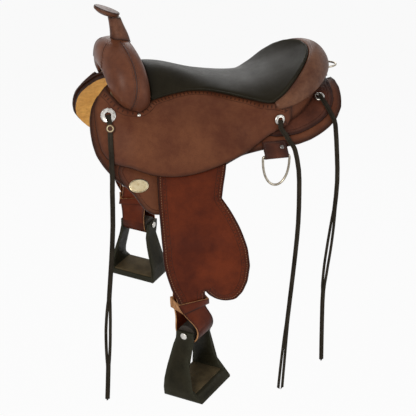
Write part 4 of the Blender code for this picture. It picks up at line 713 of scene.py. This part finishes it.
def makeStrings():
    for node, points in strings.items():
        path = evenPath(roundedLine(points), thong["step"], closed=False)
        bm = bmesh.new()
        for hand in (-1, 1):
            makeStrand(bm, path, hand, thong["opens"][node])
        bmesh.ops.recalc_face_normals(bm, faces=bm.faces)
        mesh = bpy.data.meshes.new(node)
        bm.to_mesh(mesh)
        bm.free()
        piece = addMesh(node, mesh)
        applyPlace(piece, 70)
        name = node.replace("_string", "Thong")
        finishPiece(piece, name, "saddle", finishes["thongLeather"], [node])
    print("strings:", len(strings))


def creaseSharp(piece, angle):
    bm = openMesh(piece)
    crease = bm.edges.layers.float.get("crease_edge") or bm.edges.layers.float.new("crease_edge")
    for edge in bm.edges:
        if len(edge.link_faces) == 2 and edge.calc_face_angle() > math.radians(angle):
            edge[crease] = 1.0
    bm.to_mesh(piece.data)
    bm.free()


# Leather pieces that are cut from a hide: an outer face, an inner face and a dyed edge between them

hides = {
    "skirt": {"look": "jockeyLeather", "levels": 2, "shadeReach": 0.014,
              "rows": [{"mark": "stitch", "inset": 0.0080, "spacing": 0.0060}],
              "lines": [0.0040]},
    "seat_jockey": {"look": "jockeyLeather", "levels": 2, "shadeReach": 0.010,
                    "rows": [{"mark": "stamp", "inset": 0.0120, "spacing": 0.0100, "finish": "stampedLeather",
                              "turn": 90}],
                    "lines": [0.0050, 0.0190]},
    "rear_jockey": {"look": "rearLeather", "levels": 2, "shadeReach": 0.012,
                    "rows": [{"mark": "stitch", "inset": 0.0080, "spacing": 0.0060}],
                    "lines": [0.0045, 0.0125]},
    "front_rigging": {"look": "jockeyLeather", "levels": 2, "shadeReach": 0.008,
                      "rows": [{"mark": "stitch", "inset": 0.0065, "spacing": 0.0058}],
                      "lines": [0.0100]},
    "rear_rigging": {"look": "rearLeather", "levels": 1, "shadeReach": 0.005,
                     "rows": [{"mark": "stitch", "inset": 0.0045, "spacing": 0.0055}]},
    "fender": {"look": "fenderLeather", "levels": 2, "shadeReach": 0.012,
               "rows": [{"mark": "stitch", "inset": 0.0065, "spacing": 0.0062, "finish": "tanThread"},
                        {"mark": "dot", "inset": 0.0150, "spacing": 0.0085, "finish": "stampedLeather"}],
               "lines": [0.0110, 0.0190]},
    "hobble_strap": {"look": "fenderLeather", "rim": "rawEdge", "levels": 1, "shadeReach": 0.003},
    "skirt_lining": {"look": "linedFleece", "levels": 2, "shadeReach": 0.006},
    "stirrup_strap": {"look": "fenderLeather", "rim": "rawEdge", "levels": 1, "shadeReach": 0.004},
}
marks = {
    "stitch": {"length": 0.0042, "width": 0.0014, "height": 0.0010, "sink": 0.0001},
    "stamp": {"length": 0.0086, "width": 0.0034, "height": 0.0005, "sink": 0.0},
    "dot": {"length": 0.0036, "width": 0.0030, "height": 0.0005, "sink": 0.0},
}
tooledLine = {"radius": 0.00055, "spacing": 0.004}
hideBevel, edgeStep = 0.0007, 0.003
outwardPull = 0.8  # how much up counts against sideways when an outer face is picked


def makeMarkShape(shape):
    bpy.ops.mesh.primitive_uv_sphere_add(segments=6, ring_count=4, radius=0.5)
    template = bpy.context.object
    template.scale = (shape["length"], shape["width"], shape["height"])
    bpy.ops.object.transform_apply(location=True, rotation=True, scale=True)
    return template


def tubeAlong(points, radius, closed=False, resolution=2):
    curve = bpy.data.curves.new("welt", "CURVE")
    curve.dimensions = "3D"
    curve.bevel_depth = radius
    curve.bevel_resolution = resolution
    curve.use_fill_caps = not closed
    spline = curve.splines.new("POLY")
    spline.points.add(len(points) - 1)
    for spot, place in zip(spline.points, points):
        spot.co = (*place, 1)
    spline.use_cyclic_u = closed
    workOn(addMesh("welt", curve))
    bpy.ops.object.convert(target="MESH")
    piece = bpy.context.object
    bpy.ops.object.shade_smooth_by_angle(angle=math.radians(60))
    return piece


def joinPieces(pieces):
    workOn(pieces[0])
    for piece in pieces[1:]:
        piece.select_set(True)
    if len(pieces) > 1:
        bpy.ops.object.join()
    return bpy.context.object


def runsOf(spots, spacing):
    runs = [[spots[0][0]]]
    for spot, _, _ in spots[1:]:
        if (spot - runs[-1][-1]).length > spacing * 2.5:
            runs.append([])
        runs[-1].append(spot)
    return [run for run in runs if len(run) > 3]


def makeHide(node, side, look, templates):
    piece = solidCopy(node)
    bm = openMesh(piece)
    groups = faceGroups(bm, hideEdge)
    outward = Vector((0, side, outwardPull))
    big = sorted(groups[:2], key=lambda group: -sum(f.normal.dot(outward) * f.calc_area() for f in group))
    outer, inner, flat = outlineOf(big[0]), outlineOf(big[1]), faceTree(big[0])
    for group in groups[2:]:
        for face in group:
            face.material_index = 1
    bm.to_mesh(piece.data)
    bm.free()
    creaseSharp(piece, 40)
    finishModifier(piece, "SUBSURF", levels=look["levels"], render_levels=look["levels"])
    bevelCorners(piece, hideBevel, hideEdge)
    applyPlace(piece)
    # The band along both outlines takes the edge colour: partly the darker edge finish, partly painted shade.
    edgeShade(piece, evenPath(outer, edgeStep) + evenPath(inner, edgeStep), look["shadeReach"])
    name = "".join(word.capitalize() if i else word for i, word in enumerate(node.split("_")))
    body = bodyOf[node]
    faceAndRim = [finishes[look["look"]], finishes[look.get("rim", "edgeLeather")]]
    finishPiece(piece, name, body, faceAndRim, [node])
    surface = surfaceOf(piece)
    for index, row in enumerate(look.get("rows", ())):
        spots = insetSpots(outer, surface, row["inset"], row["spacing"], flat)
        marked = placeCopies(templates[row["mark"]], spots, math.radians(row.get("turn", 0)),
                             marks[row["mark"]]["sink"])
        finishPiece(marked, f"{name}{row['mark'].capitalize()}Row{index + 1}", body,
                    finishes[row.get("finish", "darkThread")])
    tubes = []
    for inset in look.get("lines", ()):
        spots = insetSpots(outer, surface, inset, tooledLine["spacing"], flat)
        tubes += [tubeAlong(run, tooledLine["radius"], resolution=1) for run in runsOf(spots, tooledLine["spacing"])]
    if tubes:
        finishPiece(joinPieces(tubes), f"{name}ToolLines", body, finishes["stampedLeather"])


def makeHides():
    templates = {name: makeMarkShape(shape) for name, shape in marks.items()}
    for kind, look in hides.items():
        for name, side in sides.items():
            makeHide(f"{kind}_{name}", side, look, templates)
    for template in templates.values():
        bpy.data.objects.remove(template)
    print("hides:", 2 * len(hides))


# Rounded leather work: fork, horn, seat and cantle

rounded = {
    "fork_cover": {"name": "swellCover", "look": "swellLeather", "levels": 2, "angle": 50, "bevel": 0.0010},
    "horn_neck_cover": {"name": "hornNeck", "look": "hornLeather", "levels": 2, "angle": 50, "bevel": 0.0006},
    "horn_cap": {"name": "hornCap", "look": "hornLeather", "levels": 2, "angle": 50, "bevel": 0.0008},
    "cantle_roll": {"name": "cantleRoll", "look": "rollLeather", "levels": 2, "angle": 60, "bevel": 0.0008},
    "cantle_back": {"name": "cantleBack", "look": "swellLeather", "levels": 1, "angle": 50, "bevel": 0.0006},
    "seat_pad": {"name": "paddedSeat", "look": "seatLeather", "levels": 2, "angle": 60, "bevel": 0.0008},
    "crupper_keeper": {"name": "ringKeeper", "look": "fenderLeather", "levels": 1, "angle": 50, "bevel": 0.0005},
}
roundedShade = 0.006
welts = {
    "radius": 0.0021, "frontRadius": 0.0012, "stitchSpacing": 0.0060, "stitchOffset": 0.0055,
    "swellSide": [(-0.2365, -0.0300, 0.1680), (-0.2330, -0.0500, 0.1625), (-0.2293, -0.0690, 0.1540),
                  (-0.2249, -0.0903, 0.1408), (-0.2217, -0.1055, 0.1261), (-0.2205, -0.1186, 0.1063),
                  (-0.2205, -0.1263, 0.0849), (-0.2241, -0.1292, 0.0645), (-0.2290, -0.1280, 0.0477),
                  (-0.2350, -0.1212, 0.0339)],
    "swellFront": [(-0.2690, -0.0280, 0.1660), (-0.2766, -0.0368, 0.1582), (-0.2844, -0.0487, 0.1384),
                   (-0.2868, -0.0499, 0.1150)],
}
piping = {"radius": 0.0024, "spacing": 0.004, "out": 0.0012, "middle": Vector((0.02, 0, 0.03))}
rollRow = {"spacing": 0.0062, "out": 0.010, "up": 0.006, "reach": 0.012, "startsAt": 0.118,
           "middle": Vector((0.10, 0, 0.04))}
borderSoftening = 3


def sharpPlaces(piece, angle, spacing=0.003):
    bm = openMesh(piece)
    places = []
    for edge in bm.edges:
        if len(edge.link_faces) == 2 and edge.calc_face_angle() > math.radians(angle):
            a, b = edge.verts[0].co, edge.verts[1].co
            count = max(1, math.ceil((b - a).length / spacing))
            places += [a.lerp(b, i / count) for i in range(count + 1)]
    bm.free()
    return places


def padBorder(piece):
    rows = {}
    for v in piece.data.vertices:
        rows.setdefault(round(v.co.x, 3), []).append(v.co.copy())
    near, far = ([max(rows[x], key=lambda place: hand * place.y) for x in sorted(rows)] for hand in (-1, 1))
    return near + far[::-1]


def layOn(surface, points, spacing=0.003):
    path = evenPath(roundedLine(points, 6), spacing, closed=False)
    spots = []
    for i, place in enumerate(path):
        spot, normal, _, _ = surface.find_nearest(place)
        tangent = (path[min(i + 1, len(path) - 1)] - path[max(i - 1, 0)]).normalized()
        spots.append((spot, normal, tangent))
    return spots


def besideRow(surface, points, offset, spacing):
    spots = []
    for place, normal, tangent in layOn(surface, points, spacing):
        for hand in (-1, 1):
            spot, across, _, _ = surface.find_nearest(place + normal.cross(tangent) * hand * offset)
            spots.append((spot, across, tangent))
    return spots


def makeRounded():
    surfaces, padLoop = {}, None
    for node, look in rounded.items():
        piece = solidCopy(node)
        sharp = sharpPlaces(piece, look["angle"])
        if node == "seat_pad":
            padLoop = padBorder(piece)
        creaseSharp(piece, look["angle"])
        finishModifier(piece, "SUBSURF", levels=look["levels"], render_levels=look["levels"])
        bevelCorners(piece, look["bevel"], math.radians(look["angle"]))
        applyPlace(piece, 50)
        # The band along the sharp edges and seams takes the edge colour: painted shade where the cover meets other
        # parts, partly the darker edge finish; on the seat pad it is a painted sheen.
        if sharp:
            edgeShade(piece, sharp, roundedShade)
        finishPiece(piece, look["name"], bodyOf[node], finishes[look["look"]], [node])
        surfaces[node] = surfaceOf(piece)
    makeWelts(surfaces, padLoop)
    print("rounded pieces:", len(rounded))


def makeWelts(surfaces, padLoop):
    stitchShape = makeMarkShape(marks["stitch"])
    swell = surfaces["fork_cover"]
    for name, side in sides.items():
        for seam, radius in (("swellSide", welts["radius"]), ("swellFront", welts["frontRadius"])):
            points = [(x, -side * y, z) for x, y, z in welts[seam]]
            tube = tubeAlong([spot for spot, _, _ in layOn(swell, points)], radius)
            finishPiece(tube, f"{seam}Welt{name.capitalize()}", "saddle", finishes["weltLeather"])
            row = placeCopies(stitchShape, besideRow(swell, points, welts["stitchOffset"], welts["stitchSpacing"]))
            finishPiece(row, f"{seam}Stitches{name.capitalize()}", "saddle", finishes["darkThread"])
    path = [place + (place - piping["middle"]).normalized() * piping["out"]
            for place in evenPath(padLoop, piping["spacing"], softening=borderSoftening)]
    tube = tubeAlong(path, piping["radius"], closed=True)
    finishPiece(tube, "seatPiping", "saddle", finishes["seatLeather"])
    spots, up = [], Vector((0, 0, 1))
    for place in evenPath(padLoop, rollRow["spacing"], softening=borderSoftening):
        if place.x > rollRow["startsAt"]:
            out = (place - rollRow["middle"]).normalized()
            on = place + out * rollRow["out"] + up * rollRow["up"]
            spot, normal, _, away = surfaces["cantle_roll"].find_nearest(on)
            if away < rollRow["reach"]:
                spots.append((spot, normal, up.cross(out)))
    finishPiece(placeCopies(stitchShape, spots), "rollStitches", "saddle", finishes["darkThread"])
    bpy.data.objects.remove(stitchShape)


# Fittings

metalPieces = {
    "rear_dee": {"name": "rearDee", "levels": 2, "puff": 0.00035, "finish": "dullRing"},
    "crupper_ring": {"name": "crupperRing", "levels": 2, "puff": 0.0003, "finish": "dullRing"},
    "front_concho": {"name": "frontConcho"},
    "jockey_concho": {"name": "jockeyConcho"},
    "rear_concho": {"name": "rearConcho"},
    "oval_plate": {"name": "ovalPlate", "levels": 2},
    "rigging_plate": {"name": "riggingPlate"},
    "buckle_plate": {"name": "bucklePlate"},
    "buckle_sleeve": {"name": "buckleSleeve"},
    "stirrup_bolt": {"name": "stirrupBolt"},
    "stirrup": {"name": "stirrup", "bevel": 0.0016},
    "stirrup_tread": {"name": "stirrupTread"},
}
finishOfSlot = {"bright_steel": "silverMetal", "pale_plate": "paleBrass", "stirrup_leather": "stirrupLeather",
                "tread_rubber": "treadRubber"}
stirrupShade = 0.012
beads = {"radius": 0.0010, "spacing": 0.0032, "inset": 0.0018}
plateLine = {"radius": 0.0005, "inset": 0.0024, "spacing": 0.002}
button = {"rim": 0.28, "crown": 0.30, "socket": 0.12, "firstRise": 0.7, "lastRise": 0.3, "socketDepth": 0.8,
          "bevel": 0.05}
buttonSink = 0.0004
smallParts = {
    "swellScrew": {"place": (-0.2168, 0.1222, 0.0177), "normal": (-0.01, 0.68, 0.74), "radius": 0.0042,
                   "height": 0.0012, "dome": 0.0012, "finish": "silverMetal", "socket": True},
    "riggingSnap": {"place": (0.1162, 0.1797, -0.0764), "normal": (-0.04, 0.70, 0.72), "radius": 0.0052,
                    "height": 0.0014, "dome": 0.0014, "finish": "darkMetal", "socket": True},
}
rosette = {"place": (-0.2893, -0.1372, -0.0040), "normal": (0.0, -0.86, 0.52), "lift": 0.0030, "radius": 0.0105,
           "thick": 0.0016, "ringRadius": 0.0070, "ringWire": 0.0015, "dome": 0.0004}


def selectTop(piece, level):
    bpy.ops.object.mode_set(mode="EDIT")
    bpy.ops.mesh.select_all(action="DESELECT")
    bpy.ops.object.mode_set(mode="OBJECT")
    for face in piece.data.polygons:
        face.select = face.normal.z > 0.9 and face.center.z > level
    bpy.ops.object.mode_set(mode="EDIT")
    bpy.ops.mesh.select_mode(type="FACE")


def makeButton(radius, height, dome, socket):
    bpy.ops.object.select_all(action="DESELECT")
    bpy.ops.mesh.primitive_cylinder_add(vertices=32, radius=radius, depth=height, location=(0, 0, height / 2))
    piece = bpy.context.object
    bpy.ops.object.transform_apply(location=True, rotation=True, scale=True)
    selectTop(piece, height * 0.5)
    steps = [(button["rim"], button["firstRise"]), (button["crown"], button["lastRise"])]
    for width, rise in steps + [(button["socket"], -button["socketDepth"])] * socket:
        bpy.ops.mesh.inset(thickness=radius * width)
        bpy.ops.transform.translate(value=(0, 0, dome * rise))
    bpy.ops.object.mode_set(mode="OBJECT")
    bevelCorners(piece, radius * button["bevel"], hideEdge)
    return piece


def setOn(piece, place, normal, lift):
    normal = Vector(normal).normalized()
    piece.rotation_mode = "QUATERNION"
    piece.rotation_quaternion = normal.to_track_quat("Z", "Y")
    piece.location = Vector(place) + normal * lift
    applyPlace(piece, 35)


def makeSmallParts():
    for kind, look in smallParts.items():
        for name, side in sides.items():
            piece = makeButton(look["radius"], look["height"], look["dome"], look["socket"])
            x, y, z = look["place"]
            nx, ny, nz = look["normal"]
            setOn(piece, (x, side * y, z), (nx, side * ny, nz), -buttonSink)
            finishPiece(piece, kind + name.capitalize(), "saddle", finishes[look["finish"]])
    disc = makeButton(rosette["radius"], rosette["thick"], rosette["dome"], False)
    setOn(disc, rosette["place"], rosette["normal"], rosette["lift"])
    finishPiece(disc, "stringRosette", "saddle", finishes["weltLeather"])
    bpy.ops.object.select_all(action="DESELECT")
    bpy.ops.mesh.primitive_torus_add(major_segments=40, minor_segments=10, major_radius=rosette["ringRadius"],
                                     minor_radius=rosette["ringWire"])
    ring = bpy.context.object
    setOn(ring, rosette["place"], rosette["normal"], rosette["lift"] + rosette["thick"] + rosette["dome"])
    finishPiece(ring, "rosetteRing", "saddle", finishes["paleBrass"])
    print("small parts:", 2 * len(smallParts) + 2)


def trimFitting(kind, piece, name, side, body):
    outward = Vector((0, side, outwardPull))
    bm = bmesh.new()
    bm.from_mesh(nodes[name].data)
    bmesh.ops.remove_doubles(bm, verts=bm.verts, dist=weldDistance)
    bm.faces.ensure_lookup_table()
    bm.faces.index_update()
    groups = faceGroups(bm, fittingEdge)
    best = max(groups, key=lambda group: sum(max(0.0, f.normal.dot(outward)) * f.calc_area() for f in group))
    loop, flat = outlineOf(best), faceTree(best)
    bm.free()
    surface = surfaceOf(piece)
    if kind == "oval_plate":
        line = [spot for spot, _, _ in insetSpots(loop, surface, plateLine["inset"], plateLine["spacing"], flat)]
        trim = tubeAlong(line, plateLine["radius"], closed=True)
        finishPiece(trim, piece.name + "Rim", body, finishes["darkMetal"])
    else:
        bead = makeMarkShape(dict.fromkeys(("length", "width", "height"), beads["radius"] * 2))
        spots = insetSpots(loop, surface, beads["inset"], beads["spacing"], flat)
        trim = placeCopies(bead, spots)
        bpy.data.objects.remove(bead)
        finishPiece(trim, piece.name + "Beads", body, finishes["silverMetal"])


def makeFittings():
    for kind, look in metalPieces.items():
        for node in [kind] if kind in nodes else [f"{kind}_{name}" for name in sides]:
            piece = solidCopy(node)
            sharp = sharpPlaces(piece, 35)
            if "levels" in look:
                creaseSharp(piece, 60)
                finishModifier(piece, "SUBSURF", levels=look["levels"], render_levels=look["levels"])
            if "puff" in look:
                finishModifier(piece, "DISPLACE", strength=look["puff"], mid_level=0.0)
            bevelCorners(piece, look.get("bevel", 0.0006), fittingEdge)
            if kind == "stirrup":
                finishModifier(piece, "SUBSURF", subdivision_type="SIMPLE", levels=2, render_levels=2)
            applyPlace(piece, 35)
            # The band along the stirrup's sharp edges takes its lighter edge colour: a painted sheen, partly wear.
            if kind == "stirrup":
                edgeShade(piece, sharp, stirrupShade)
            name = look["name"] + (node[len(kind) + 1:].capitalize() if node != kind else "")
            finish = look.get("finish", finishOfSlot[slotOf[node]])
            finishPiece(piece, name, bodyOf[node], finishes[finish], [node])
            if "concho" in kind or kind == "oval_plate":
                trimFitting(kind, piece, node, -1 if node.endswith("left") else 1, bodyOf[node])
    print("fittings:", len(metalPieces))


makeCamera()
makeLamps()
makeRoom()
makeMaterials()
makeStrings()
makeHides()
makeRounded()
makeFittings()
makeSmallParts()
